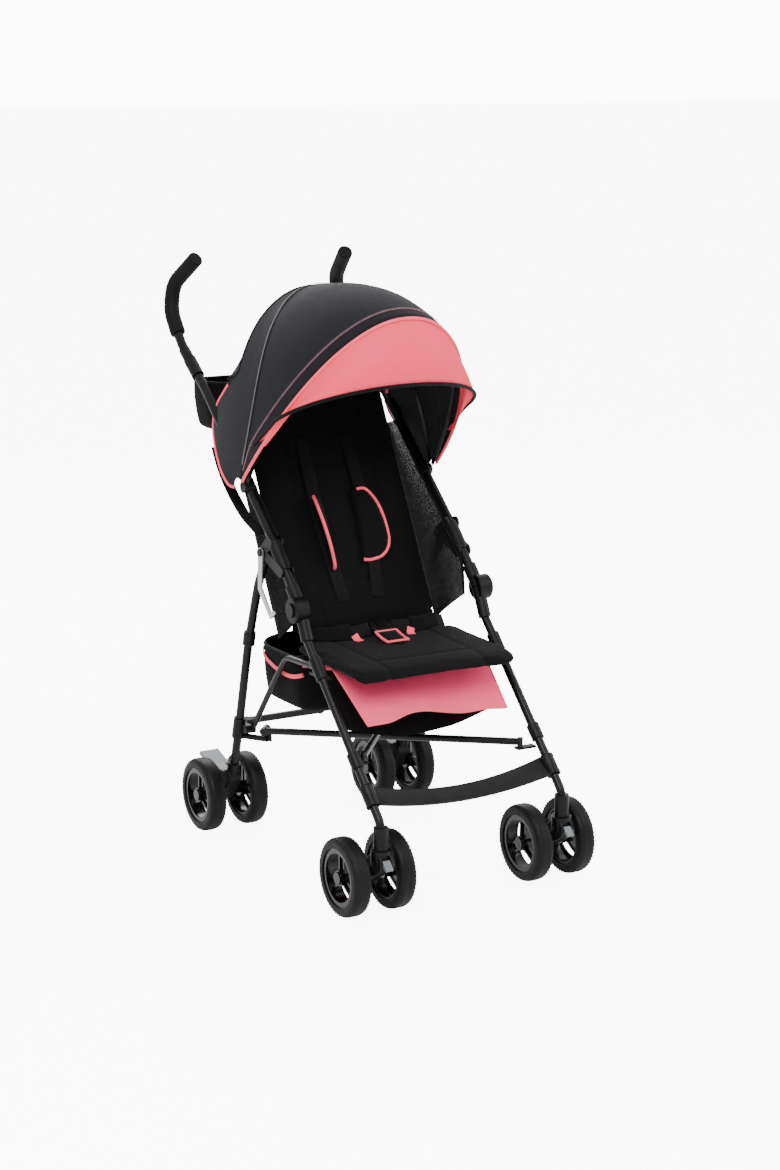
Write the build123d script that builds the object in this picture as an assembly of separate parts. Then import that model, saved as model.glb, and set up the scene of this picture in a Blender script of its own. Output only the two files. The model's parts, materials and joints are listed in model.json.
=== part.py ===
"""A light umbrella stroller with twin front casters, a folding frame, a fabric seat and a canopy.

Drawing frame, in millimetres: +X to the rider's left, -Y to the front, +Z up, floor at Z = 0.
The two side frames are alike and stand at X = -SIDE_X (right) and X = +SIDE_X (left).
Points of a side view are (y, z).  At the end every piece is shifted along Y, so that the origin
stands on the floor below the middle of the whole stroller.
"""
import os
from math import atan2, degrees

from build123d import *

# ---- driving sizes ----------------------------------------------------------------------------
SIDE_X = 186.0          # centre plane of a side frame
WHEEL_R = 70.0
TYRE_W = 34.0
TYRE_H = 18.0           # radial height of the tyre section
TYRE_SHOULDER = 11.0
TWIN_SPACING = 89.0     # between the mid-planes of two twin wheels
FRONT_AXLE_Y = -276.0
REAR_AXLE_Y = 276.0
CASTER_TRAIL = 46.0
CASTER_TOP_Z = 125.0
LEG_D = 16.0
PUSH_D = 18.0
TUBE_WALL = 1.3
GRIP_D = 29.0
STRUT_D = 11.0
BRACE_D = 13.0
LINK_T = 4.0
LINK_W = 14.0
AXLE_R = 4.0
PIN_R = 3.0
BOLT_R = 4.0
SLEEVE_WALL = 3.5       # plastic sleeves round the tubes
KNEE_RADIUS = 28.0

# ---- clearances -------------------------------------------------------------------------------
RUN = 0.06              # radial clearance of a pin that turns in its bore
GAP = 0.5               # between flat faces that move past each other

# ---- side view points (y, z) ------------------------------------------------------------------
SWIVEL_Y = FRONT_AXLE_Y - CASTER_TRAIL
LEG_KNEE = (-319.0, 172.0)
LEG_TOP = (-52.0, 448.3)
BRACE_FRONT_AT = (-235.0, 256.0)
HINGE_AT = (-39.0, 489.0)
PUSH_START = (-18.0, 512.0)
PUSH_BEND = (60.0, 593.0)
PUSH_UPPER = (329.0, 836.0)
HANDLE_AT = (433.0, 912.0)
HANDLE_REAR = (482.0, 972.0)
HANDLE_TOP = (484.0, 1022.0)
HANDLE_END = (418.0, 1073.0)
HANDLE_TOE_IN = (2.0, 9.0, 24.0)   # how far the last three points stand inward of the side plane
LEG_PIVOT = (85.0, 572.0)
REAR_LEG_BENDS = ((125.0, 505.0), (170.0, 380.0), (204.0, 245.0))
REAR_LEG_FOOT = (240.0, 112.0)
STRUT_PIVOT = (190.0, 212.0)
STRUT_BENDS = ((118.0, 302.0), (52.0, 380.0))
STRUT_END = (-78.0, 386.0)
BACKREST_FOOT = (46.0, 410.0)
BACKREST_TOP = (276.0, 856.0)

# ---- places along the tubes, from a tube's bend ------------------------------------------------
FOOTREST_UP = 51.0      # up the front leg from its knee
BRACE_BRACKET_UP = 121.0
STRUT_BRACKET_UP = 309.0
CANOPY_UP = 131.0       # up the push tube from its bend
KNUCKLE_UP = 102.6      # up the rear leg from its foot
COLLAR_UP = 15.0        # up the rear leg from its middle bend

HANDLE_RADII = [60.0, 40.0]
SWIVEL_LOCK_AT = (-338.0, 106.0)
SWIVEL_LOCK_TIP = (-350.0, 96.0)
PEDAL_PIVOT = (270.0, 108.0)
PEDAL_TIP = (343.0, 130.0)
BRACKET_FOOT = (18.0, 548.5)       # lower end of the sleeve that carries the rear leg
HOOK_BENDS = ((88.0, 505.0), (48.0, 462.0))
HOOK_TIP = (34.0, 470.0)
STRAP_ROUTE = [(104.0, 602.0), (168.0, 629.0), (220.0, 663.0), (258.0, 700.0), (282.0, 738.0)]

# ---- cross links and braces -------------------------------------------------------------------
LINK_HALF = SIDE_X - 24.0          # from a knuckle pin to the middle pin
BRACE_X = SIDE_X - 36.0            # where a brace turns on its knuckle
BRACE_PIVOT = (165.0, 222.0)
BRACE_TIP_X = SIDE_X - 27.0
BRACE_SIDE_OFFSET = 11.5            # each brace lies to one side of its lug
BRACE_LEVEL = 7.2                  # one brace is pivoted this much lower, the other higher
BRACE_FOOT = 2.5                   # how far a brace's front bolt stands below the bar
STRUT_X = SIDE_X - 18.0

# ---- soft parts -------------------------------------------------------------------------------
# CANOPY_HEIGHTS: how far forward an arch leans, in degrees, and its height above its pivot
FABRIC_T = 2.0
CANOPY_HALF_W = SIDE_X + 22.0
CANOPY_HEIGHTS = ((-16.0, 362.0), (-4.0, 362.0), (12.0, 378.0), (37.0, 411.0), (54.0, 356.0))
CANOPY_STRAIGHT = 30.0            # straight part of the arch's sides
SHELL_STEP = 3.0                   # between nested canopy shells
REAR_BOW_DEG = -16.0
MID_BOW_DEG = 12.0
FRONT_BOW_DEG = 37.0
VISOR_DEG = 54.0
SHELL_SPLIT_DEG = 0.4
BOW_W = 9.0
BOW_T = 1.6
SEAT_HALF_W = SIDE_X - 20.0
SEAT_FRONT_Y = -203.0
SEAT_REAR_Y = 36.0
SEAT_TOP_Z = 410.0
SEAT_T = 14.0
BACKREST_T = 14.0
BACKREST_HALF_W = SIDE_X - 24.0
CALF_TOP = (-98.0, 391.0)
CALF_FOOT = (-204.0, 306.0)
BASKET_Y = (18.0, 196.0)
BASKET_Z = (266.0, 384.0)
BASKET_HALF_W = SIDE_X - 30.0
POUCH_HALF_W = SIDE_X - 18.0
BUCKLE_AT = (0.0, 2.0, SEAT_TOP_Z + 17.0)
BUCKLE_TILT = 24.0
FOOTREST_SAG = 22.0
FOOTREST_DEPTH = 48.0
FOOTREST_TILT = 30.0


# ---- helpers ----------------------------------------------------------------------------------
def at(x, point):
    """A side view point in the plane X = x."""
    return (x, point[0], point[1])


def direction(start, end):
    """The unit side view direction from one point to another."""
    run = (Vector(0, *end) - Vector(0, *start)).normalized()
    return (run.Y, run.Z)


def along(start, end, distance):
    """The side view point this far from start towards end."""
    step = direction(start, end)
    return (start[0] + step[0] * distance, start[1] + step[1] * distance)


def rod(start, end, radius):
    """A round bar between two points."""
    base = Plane(origin=start, z_dir=Vector(*end) - Vector(*start))
    length = (Vector(*end) - Vector(*start)).length
    return extrude(base * Circle(radius), length)


def bent_rod(points, bend_radius, diameter, wall=0.0):
    """A round bar or tube along straight runs joined by tangent arcs."""
    path = FilletPolyline(*points, radius=bend_radius)
    start = Plane(origin=path @ 0, z_dir=path % 0)
    section = start * Circle(diameter / 2)
    if wall:
        section -= start * Circle(diameter / 2 - wall)
    return sweep(section, path=path)


def disc_x(x_low, x_high, point, radius):
    """A round boss along X, round a side view point."""
    return rod(at(x_low, point), at(x_high, point), radius)


def plate_x(x_low, x_high, outline):
    """A flat plate with a side view outline, between two X planes."""
    base = Plane(origin=(x_low, 0, 0), x_dir=(0, 1, 0), z_dir=(1, 0, 0))
    face = base * make_face(Polyline(*outline, close=True))
    return extrude(face, x_high - x_low)


def link_x(x_low, x_high, start, start_r, end, end_r):
    """A plate along X that joins two round ends of a side view."""
    run = direction(start, end)
    normal = (-run[1], run[0])
    corners = []
    for point, radius, sign in ((start, start_r, 1), (end, end_r, 1), (end, end_r, -1), (start, start_r, -1)):
        corners.append((point[0] + sign * normal[0] * radius, point[1] + sign * normal[1] * radius))
    web = plate_x(x_low, x_high, corners)
    return web + disc_x(x_low, x_high, start, start_r) + disc_x(x_low, x_high, end, end_r)


def span(side, near, far):
    """Two distances from the middle plane on one side, as an increasing pair of X values."""
    return sorted((side * near, side * far))


def sleeve(side, centre, run, length, tube_d):
    """A plastic sleeve round a tube of the side frame, still without its bore."""
    half = length / 2
    start = (centre[0] - run[0] * half, centre[1] - run[1] * half)
    end = (centre[0] + run[0] * half, centre[1] + run[1] * half)
    x = side * SIDE_X
    body = rod(at(x, start), at(x, end), tube_d / 2 + SLEEVE_WALL)
    return chamfer(body.edges().filter_by(GeomType.CIRCLE), 0.8)


# ---- places and directions that several pieces share -------------------------------------------
FOOTREST_AT = along(LEG_KNEE, LEG_TOP, FOOTREST_UP)
BRACE_BRACKET_AT = along(LEG_KNEE, LEG_TOP, BRACE_BRACKET_UP)
STRUT_BRACKET_AT = along(LEG_KNEE, LEG_TOP, STRUT_BRACKET_UP)
CANOPY_PIVOT = along(PUSH_BEND, PUSH_UPPER, CANOPY_UP)
KNUCKLE_AT = along(REAR_LEG_FOOT, REAR_LEG_BENDS[-1], KNUCKLE_UP)
UPPER_COLLAR_AT = along(REAR_LEG_BENDS[1], REAR_LEG_BENDS[0], COLLAR_UP)
FRONT_RUN = direction(LEG_KNEE, LEG_TOP)
PUSH_RUN = direction(PUSH_BEND, PUSH_UPPER)
REAR_RUN = direction(REAR_LEG_FOOT, REAR_LEG_BENDS[-1])      # up along the lower rear leg
LINK_AXIS = Vector(0, REAR_RUN[1], -REAR_RUN[0])             # square to the rear legs, backwards
UP_LEG = Vector(0, *REAR_RUN)
LINK_LEVEL = LEG_D / 2 + 8.0 + GAP                           # near face of the right link
LEG_CENTRE = Vector(0, *KNUCKLE_AT)
HUB_INNER = 27.5                                             # from the fork's middle to a hub


def brace_line(side):
    """Pivot, unit direction and hinge axis of the brace that turns on this side's knuckle."""
    pivot = Vector(side * BRACE_X, *BRACE_PIVOT) + UP_LEG * (side * BRACE_LEVEL)
    tip = Vector(-side * BRACE_TIP_X, *BRACE_FRONT_AT) + UP_LEG * (side * BRACE_LEVEL)
    run = (tip - pivot).normalized()
    axis = run.cross(UP_LEG).normalized()
    return pivot, tip, run, axis


# ---- frame ------------------------------------------------------------------------------------
def front_leg_path(side):
    x = side * SIDE_X
    return [(x, SWIVEL_Y, CASTER_TOP_Z + 24.0), at(x, LEG_KNEE), at(x, LEG_TOP)]


def front_leg(side):
    return bent_rod(front_leg_path(side), KNEE_RADIUS, LEG_D, TUBE_WALL)


def front_leg_space(side):
    return bent_rod(front_leg_path(side), KNEE_RADIUS, LEG_D)


def handle_points(side):
    points = [at(side * SIDE_X, HANDLE_AT)]
    for point, toe_in in zip((HANDLE_REAR, HANDLE_TOP, HANDLE_END), HANDLE_TOE_IN):
        points.append(at(side * (SIDE_X - toe_in), point))
    return points


def push_tube_points(side):
    x = side * SIDE_X
    return [at(x, PUSH_START), at(x, PUSH_BEND), at(x, PUSH_UPPER)] + handle_points(side)


def push_tube(side, wall=TUBE_WALL):
    return bent_rod(push_tube_points(side), [200.0, 300.0, 200.0] + HANDLE_RADII, PUSH_D, wall)


def grip(side):
    """Foam grip that closes over the tube's end."""
    points = handle_points(side)
    start = Vector(*points[0])
    points[0] = tuple(start + (Vector(*points[1]) - start).normalized() * 24.0)
    last = (Vector(*points[-1]) - Vector(*points[-2])).normalized()
    points[-1] = tuple(Vector(*points[-1]) + last * 5.0)
    body = bent_rod(points, HANDLE_RADII, GRIP_D)
    body = fillet(body.edges().filter_by(GeomType.CIRCLE), 4.0)
    return body - push_tube(side, wall=0.0)


def side_fittings(side):
    """Plastic and steel fittings fixed on one side frame, each its own solid."""
    x = side * SIDE_X
    leg = front_leg_space(side)
    tube = push_tube(side, wall=0.0)
    fittings = []
    socket = rod((x, SWIVEL_Y, CASTER_TOP_Z + GAP), (x, SWIVEL_Y, CASTER_TOP_Z + 40.0), LEG_D / 2 + 5.0)
    socket -= rod((x, SWIVEL_Y, CASTER_TOP_Z), (x, SWIVEL_Y, CASTER_TOP_Z + 24.0), 5.0 + RUN)
    fittings.append(socket - leg)
    fittings.append(brace_bracket(side) - leg)
    fittings.append(strut_bracket(side) - leg)
    fittings.append(fold_hinge(side) - leg - tube)
    fittings.append(leg_bracket(side) - tube)
    fittings.append(canopy_clamp(side) - tube)
    fittings.append(handle_collar(side) - tube)
    fittings.append(leg_bolt(side))
    return Compound(children=[solid for piece in fittings for solid in piece.solids()])


def brace_bracket(side):
    """Sleeve on the front leg with the shelf on which the far brace rests."""
    body = sleeve(side, BRACE_BRACKET_AT, FRONT_RUN, 30.0, LEG_D)
    _, tip, _, axis = brace_line(-side)
    rest = tip + axis * BRACE_SIDE_OFFSET
    top = rest.Z - BRACE_D / 2 - BRACE_FOOT - GAP
    low, high = span(side, abs(rest.X) - 8.0, SIDE_X - 6.0)
    shelf = Pos((low + high) / 2, rest.Y, top - 2.0) * Box(high - low, 15.0, 4.0)
    return body + shelf


def strut_bracket(side):
    """Sleeve on the front leg with the shelf under the strut's front end."""
    body = sleeve(side, STRUT_BRACKET_AT, FRONT_RUN, 44.0, LEG_D)
    low, high = span(side, STRUT_X - 5.0, SIDE_X - 6.0)
    top = STRUT_END[1] - STRUT_D / 2 - 3 * GAP
    shelf = Box(high - low, 52.0, 5.0)
    return body + Pos((low + high) / 2, STRUT_END[0] - 6.0, top - 2.5) * shelf


def fold_hinge(side):
    """Round hinge housing between the front leg and the push tube."""
    low, high = span(side, SIDE_X - 8.0, SIDE_X + 20.0)
    disc = disc_x(low, high, HINGE_AT, 23.0)
    disc = chamfer(disc.edges().filter_by(GeomType.CIRCLE), 2.0)
    low_end = along(LEG_TOP, LEG_KNEE, 16.0)
    high_end = along(PUSH_START, PUSH_BEND, 16.0)
    lower = rod(at(side * SIDE_X, low_end), at(side * SIDE_X, HINGE_AT), LEG_D / 2 + SLEEVE_WALL)
    upper = rod(at(side * SIDE_X, HINGE_AT), at(side * SIDE_X, high_end), PUSH_D / 2 + SLEEVE_WALL)
    low_knob, high_knob = span(side, SIDE_X + 19.0, SIDE_X + 24.0)
    knob = disc_x(low_knob, high_knob, HINGE_AT, 13.0)
    return disc + lower + upper + knob


def leg_bracket(side):
    """Sleeve on the push tube with two ears for the rear leg."""
    start = BRACKET_FOOT
    run = direction(start, PUSH_BEND)
    centre = ((start[0] + PUSH_BEND[0]) / 2, (start[1] + PUSH_BEND[1]) / 2)
    body = sleeve(side, centre, run, 62.0, PUSH_D)
    for near, far in ((-12.5, -8.0 - GAP), (8.0 + GAP, 12.5)):
        low, high = span(side, SIDE_X + near, SIDE_X + far)
        body += link_x(low, high, PUSH_BEND, 12.0, LEG_PIVOT, 11.0)
        body += link_x(low, high, start, 11.0, LEG_PIVOT, 9.0)
    return body - disc_x(*span(side, SIDE_X - 20.0, SIDE_X + 20.0), LEG_PIVOT, BOLT_R)


def leg_bolt(side):
    """Bolt through the bracket's ears; its outer end carries the latch hook on the right side."""
    outer = SIDE_X + 17.5
    bolt = disc_x(*span(side, SIDE_X - 15.0, outer), LEG_PIVOT, BOLT_R)
    head = disc_x(*span(side, SIDE_X - 16.5, SIDE_X - 12.5), LEG_PIVOT, BOLT_R + 3.0)
    nut = disc_x(*span(side, outer - 1.0, outer + 2.0), LEG_PIVOT, BOLT_R + 3.0)
    return bolt + head + nut


def canopy_clamp(side):
    """Sleeve on the push tube with the round boss that carries the canopy."""
    body = sleeve(side, CANOPY_PIVOT, PUSH_RUN, 26.0, PUSH_D)
    boss = disc_x(*span(side, SIDE_X, CANOPY_HALF_W - 3 * SHELL_STEP + 0.5), CANOPY_PIVOT, 11.0)
    return body + boss


def handle_collar(side):
    """Stepped collar between the push tube and the grip."""
    x = side * SIDE_X
    start = along(HANDLE_AT, PUSH_UPPER, 88.0)
    middle = along(HANDLE_AT, PUSH_UPPER, 42.0)
    wide = rod(at(x, start), at(x, middle), PUSH_D / 2 + 3.0)
    narrow = rod(at(x, middle), at(x, along(HANDLE_AT, PUSH_UPPER, 14.0)), PUSH_D / 2 + 1.5)
    return wide + narrow


def rear_leg(side):
    x = side * SIDE_X
    foot = along(REAR_LEG_FOOT, REAR_LEG_BENDS[-1], 2.0)
    points = [at(x, LEG_PIVOT)] + [at(x, bend) for bend in REAR_LEG_BENDS] + [at(x, foot)]
    tube = bent_rod(points, [90.0, 300.0, 300.0], LEG_D, TUBE_WALL)
    eye = disc_x(x - LEG_D / 2, x + LEG_D / 2, LEG_PIVOT, LEG_D / 2 + 1.0)
    bore = disc_x(x - LEG_D, x + LEG_D, LEG_PIVOT, BOLT_R + RUN)
    return tube + eye - bore


def rear_leg_space(side):
    x = side * SIDE_X
    points = [at(x, LEG_PIVOT)] + [at(x, bend) for bend in REAR_LEG_BENDS] + [at(x, REAR_LEG_FOOT)]
    return bent_rod(points, [90.0, 300.0, 300.0], LEG_D)


def leg_knuckle(side):
    """Fittings of a rear leg: the knuckle for link, brace and strut, and a collar higher up."""
    x = side * SIDE_X
    leg = rear_leg_space(side)
    body = sleeve(side, KNUCKLE_AT, REAR_RUN, 42.0, LEG_D)
    pin_x = side * LINK_HALF
    low, high = span(side, LINK_HALF - 9.0, SIDE_X)
    lug = Box(high - low, LINK_LEVEL - GAP - 4.0, 20.0)
    frame = Plane(origin=(0, *KNUCKLE_AT), x_dir=(1, 0, 0), z_dir=UP_LEG)
    body += frame * Pos((low + high) / 2, (LINK_LEVEL - GAP + 4.0) / 2, 0) * lug
    level = LINK_LEVEL - 2.0
    top = LINK_LEVEL + 2 * LINK_T + GAP + 3.0
    foot = LEG_CENTRE + Vector(pin_x, 0, 0)
    body += rod(tuple(foot + LINK_AXIS * level), tuple(foot + LINK_AXIS * top), PIN_R)
    boss = disc_x(*span(side, STRUT_X + STRUT_D / 2 - 1.5, SIDE_X), STRUT_PIVOT, 8.0)
    strut_pin = disc_x(*span(side, STRUT_X - 5.0, SIDE_X - 2.0), STRUT_PIVOT, PIN_R)
    body += boss + strut_pin
    body += link_x(*span(side, STRUT_X + STRUT_D / 2 - 1.5, SIDE_X), STRUT_PIVOT, 7.0, KNUCKLE_AT, 10.0)
    body += brace_arm(side)
    collar = sleeve(side, UPPER_COLLAR_AT, direction(REAR_LEG_BENDS[2], REAR_LEG_BENDS[1]), 26.0, LEG_D)
    parts = (body - leg).solids() + (collar - leg).solids()
    return Compound(children=parts)


def brace_arm(side):
    """Arm from the knuckle inwards and forwards, with an upright lug and pin for the brace."""
    pivot, _, _, axis = brace_line(side)
    arm_z = STRUT_PIVOT[1] - 18.0
    start = (side * (SIDE_X - 4.0), KNUCKLE_AT[0] + 4.0, arm_z)
    end = (pivot.X, pivot.Y, arm_z)
    arm = rod(start, end, 5.5)
    upright = Plane(origin=pivot, x_dir=axis, z_dir=Vector(0, 0, 1) - axis * axis.Z)
    height = pivot.Z - arm_z + 5.0
    lug = upright * Pos(0, 0, -height / 2) * Box(4.0, 15.0, height)
    lug += rod(tuple(pivot - axis * 2.0), tuple(pivot + axis * 2.0), 7.5)
    reach = BRACE_SIDE_OFFSET + BRACE_D / 2 + 1.0
    pin = rod(tuple(pivot), tuple(pivot + axis * reach), PIN_R)
    return arm + lug + pin


def strut(side):
    """Bent strut that turns on the knuckle; its front end rests on the front leg's shelf."""
    x = side * STRUT_X
    start = along(STRUT_PIVOT, STRUT_BENDS[0], 6.0)
    points = [at(x, start)] + [at(x, bend) for bend in STRUT_BENDS] + [at(x, STRUT_END)]
    body = bent_rod(points, [120.0, 40.0], STRUT_D)
    body += disc_x(x - 3.0, x + 3.0, STRUT_PIVOT, 8.0)
    clear = disc_x(x - STRUT_D, x + STRUT_D, STRUT_PIVOT, 9.0) - disc_x(x - 3.0, x + 3.0, STRUT_PIVOT, 9.5)
    body -= clear
    return body - disc_x(x - 20.0, x + 20.0, STRUT_PIVOT, PIN_R + RUN)


def brace_bar(side):
    """Straight brace from this side's knuckle to the other side's front leg."""
    pivot, tip, run, axis = brace_line(side)
    offset = axis * BRACE_SIDE_OFFSET
    start = pivot + offset
    end = tip + offset
    bar = rod(tuple(start + run * 4.0), tuple(end), BRACE_D / 2)
    inner = axis * (2.0 + GAP)
    outer = axis * (BRACE_SIDE_OFFSET + BRACE_D / 2)
    bar += rod(tuple(pivot + inner), tuple(pivot + outer), 8.0)
    bar -= rod(tuple(pivot - axis * 20), tuple(pivot + axis * 20), PIN_R + RUN)
    foot = end - Vector(0, 0, BRACE_D / 2 + BRACE_FOOT)
    head = end + Vector(0, 0, BRACE_D / 2 + 1.0)
    bar += rod(tuple(foot), tuple(head), 5.0)
    keep = rod(tuple(pivot + inner), tuple(pivot - inner * 6), 13.0)
    return bar - keep


def cross_link(side):
    """Flat link from a knuckle pin to the middle pin; the right link carries the middle pin."""
    level = LINK_LEVEL if side < 0 else LINK_LEVEL + LINK_T + GAP
    frame = Plane(origin=(0, *KNUCKLE_AT), x_dir=(1, 0, 0), z_dir=LINK_AXIS)
    centre = Pos(0, 0, level + LINK_T / 2)
    length = LINK_HALF
    bar = centre * Pos(side * length / 2, 0, 0) * Box(length, LINK_W, LINK_T)
    for x in (0.0, side * length):
        bar += centre * Pos(x, 0, 0) * Cylinder(LINK_W / 2 + 2.0, LINK_T)
    bar -= centre * Pos(side * length, 0, 0) * Cylinder(PIN_R + RUN, 4 * LINK_T)
    if side > 0:
        bar -= centre * Cylinder(PIN_R + RUN, 4 * LINK_T)
    else:
        pin_length = 2 * LINK_T + GAP + 4.0
        bar += Pos(0, 0, LINK_LEVEL + pin_length / 2) * Cylinder(PIN_R, pin_length)
    return frame * bar


def fold_pedal():
    """Foot pedal fixed on the left link."""
    level = LINK_LEVEL + 2 * LINK_T + GAP
    frame = Plane(origin=(0, *KNUCKLE_AT), x_dir=(1, 0, 0), z_dir=LINK_AXIS)
    plate = Pos(LINK_HALF - 34.0, 18.0, level + 2.0) * Box(16.0, 56.0, 4.0)
    tread = Pos(LINK_HALF - 34.0, 44.0, level + 12.0) * Box(34.0, 10.0, 24.0)
    tread = fillet(tread.edges().filter_by(Axis.Z), 3.0)
    return frame * (plate + tread)


# ---- running gear -----------------------------------------------------------------------------
def fork_profile(start, start_r, end, end_r, side, half_width):
    low, high = span(side, SIDE_X - half_width, SIDE_X + half_width)
    body = link_x(low, high, start, start_r, end, end_r)
    return fillet(body.edges().filter_by(Axis.X, reverse=True).filter_by(GeomType.LINE), 3.0)


def axle(side, y):
    x = side * SIDE_X
    reach = TWIN_SPACING / 2 + 12.0
    return rod((x - reach, y, WHEEL_R), (x + reach, y, WHEEL_R), AXLE_R)


def wheel_spacers(side, y):
    """Bosses between the fork and the two hubs."""
    x = side * SIDE_X
    reach = HUB_INNER - GAP
    return rod((x - reach, y, WHEEL_R), (x + reach, y, WHEEL_R), 9.0)


def caster_fork(side):
    """Swivelling caster body between the twin wheels, with its upright pin and its axle."""
    x = side * SIDE_X
    head = (SWIVEL_Y, CASTER_TOP_Z - 22.0)
    foot = (FRONT_AXLE_Y, WHEEL_R)
    body = fork_profile(head, 20.0, foot, 15.0, side, 13.0)
    body += rod((x, SWIVEL_Y, CASTER_TOP_Z - 26.0), (x, SWIVEL_Y, CASTER_TOP_Z), 18.0)
    body += rod((x, SWIVEL_Y, CASTER_TOP_Z - 10.0), (x, SWIVEL_Y, CASTER_TOP_Z + 20.0), 5.0)
    body += wheel_spacers(side, FRONT_AXLE_Y)
    low, high = span(side, SIDE_X - 8.0, SIDE_X + 8.0)
    slot = plate_x(low, high, [(-352.0, 86.0), (-334.0, 86.0), (-334.0, 118.0), (-352.0, 118.0)])
    body -= slot
    hub = axle(side, FRONT_AXLE_Y)
    pin = disc_x(*span(side, SIDE_X - 9.0, SIDE_X + 9.0), SWIVEL_LOCK_AT, 2.0)
    return Compound(children=(body - hub).solids() + hub.solids() + (pin - body).solids())


def swivel_lock(side):
    """Small lever at the front of a caster that stops it from swivelling."""
    low, high = span(side, SIDE_X - 7.0, SIDE_X + 7.0)
    lever = link_x(low, high, SWIVEL_LOCK_AT, 3.8, SWIVEL_LOCK_TIP, 2.4)
    return lever - disc_x(low - 5, high + 5, SWIVEL_LOCK_AT, 2.0 + RUN)


def rear_housing(side):
    """Fixed housing between the rear twin wheels, with the axle and the brake pedal's ears."""
    head = along(REAR_LEG_FOOT, (REAR_AXLE_Y, WHEEL_R), 6.0)
    foot = (REAR_AXLE_Y, WHEEL_R)
    body = fork_profile(head, 14.0, foot, 15.0, side, 13.0)
    body += rod(at(side * SIDE_X, head), at(side * SIDE_X, along(REAR_LEG_FOOT, REAR_LEG_BENDS[-1], 26.0)), 12.0)
    body += wheel_spacers(side, REAR_AXLE_Y)
    for near, far in ((-13.0, -9.5 - GAP), (9.5 + GAP, 13.0)):
        low, high = span(side, SIDE_X + near, SIDE_X + far)
        body += link_x(low, high, head, 10.0, PEDAL_PIVOT, 6.0)
    body -= disc_x(*span(side, SIDE_X - 10.0, SIDE_X + 10.0), PEDAL_PIVOT, 8.0)
    hub = axle(side, REAR_AXLE_Y)
    pin = disc_x(*span(side, SIDE_X - 12.0, SIDE_X + 12.0), PEDAL_PIVOT, PIN_R)
    body = body - hub - rear_leg_space(side) - pin
    return Compound(children=body.solids() + hub.solids() + pin.solids())


def brake_pedal(side):
    """Foot pedal that locks a pair of rear wheels."""
    low, high = span(side, SIDE_X - 9.5, SIDE_X + 9.5)
    hub = disc_x(low, high, PEDAL_PIVOT, 7.0)
    arm = link_x(low, high, PEDAL_PIVOT, 4.0, along(PEDAL_PIVOT, PEDAL_TIP, 30.0), 3.0)
    low_tip, high_tip = span(side, SIDE_X - 19.0, SIDE_X + 19.0)
    pad = link_x(low_tip, high_tip, along(PEDAL_PIVOT, PEDAL_TIP, 28.0), 3.0, PEDAL_TIP, 4.0)
    bore = disc_x(low - 20, high + 20, PEDAL_PIVOT, PIN_R + RUN)
    return hub + arm + pad - bore


def turned(profile):
    """A solid of revolution about X from an outline in the XY plane."""
    return revolve(profile, Axis.X, 360)


def tyre():
    section = Pos(0, WHEEL_R - TYRE_H / 2) * Rectangle(TYRE_W, TYRE_H)
    outer = section.vertices().sort_by(Axis.Y)[-2:]
    section = fillet(outer, TYRE_SHOULDER)
    return turned(section)


def rim(outward):
    """Rim with a hub, three twin-rib spokes and a hub cap on its outward face (+1 or -1 on X)."""
    seat_r = WHEEL_R - TYRE_H
    barrel = turned(Pos(0, seat_r - 2.0) * Rectangle(TYRE_W - 6.0, 4.0))
    flange = turned(Pos(outward * (TYRE_W / 2 - 4.0), seat_r - 4.5) * Rectangle(3.0, 9.0))
    hub_low = HUB_INNER - TWIN_SPACING / 2
    hub_high = 13.5
    hub_centre = outward * (hub_low + hub_high) / 2
    hub = turned(Pos(hub_centre, 7.0) * Rectangle(hub_high - hub_low, 14.0))
    cap = turned(Pos(outward * (hub_high + 1.5), 5.5) * Rectangle(4.0, 11.0))
    body = barrel + flange + hub + cap
    for turn in (0, 120, 240):
        for rib in (-8.0, 8.0):
            web = Pos(outward * 2.0, rib, seat_r / 2) * Box(11.0, 4.0, seat_r - 8.0)
            body += Rot(turn, 0, 0) * web
        bridge = Pos(outward * 0.5, 0, seat_r / 2) * Box(4.0, 17.0, seat_r - 8.0)
        body += Rot(turn, 0, 0) * bridge
    bore_length = 12.0 + GAP - hub_low
    bore = Pos(outward * (hub_low + bore_length / 2), 0, 0) * Rot(0, 90, 0) * Cylinder(AXLE_R + RUN, bore_length)
    return body - bore


# ---- soft parts -------------------------------------------------------------------------------
def arch(half_width, height, low):
    """The canopy's arch: straight sides with a half ellipse on top, cut off below low."""
    top = height - CANOPY_STRAIGHT
    face = Pos(0, CANOPY_STRAIGHT / 2) * Rectangle(2 * half_width, CANOPY_STRAIGHT)
    face += Pos(0, CANOPY_STRAIGHT) * Ellipse(half_width, top)
    keep = Pos(0, low + height) * Rectangle(4 * half_width, 2 * height)
    return face & keep


def arch_height(lean):
    """Height of the canopy's arch where it leans this many degrees forward."""
    for (low, start), (high, end) in zip(CANOPY_HEIGHTS, CANOPY_HEIGHTS[1:]):
        if lean <= high:
            return start + (end - start) * (lean - low) / (high - low)
    return CANOPY_HEIGHTS[-1][1]


def strip(lean, inset, thick):
    """A thin arch that leans this many degrees forward about the canopy's pivot."""
    half_width = CANOPY_HALF_W - inset
    height = arch_height(lean) - inset
    face = arch(half_width, height, 17.0) - arch(half_width - thick, height - thick, 0.0)
    return Location(at(0, CANOPY_PIVOT)) * Rot(90 + lean, 0, 0) * face


def canopy_shell(layer, start_deg, end_deg):
    """A canopy section that nests in the others: layer 0 is the outermost."""
    steps = 3
    leans = [start_deg + (end_deg - start_deg) * i / steps for i in range(steps + 1)]
    return loft([strip(lean, layer * SHELL_STEP, FABRIC_T) for lean in leans])


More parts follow.
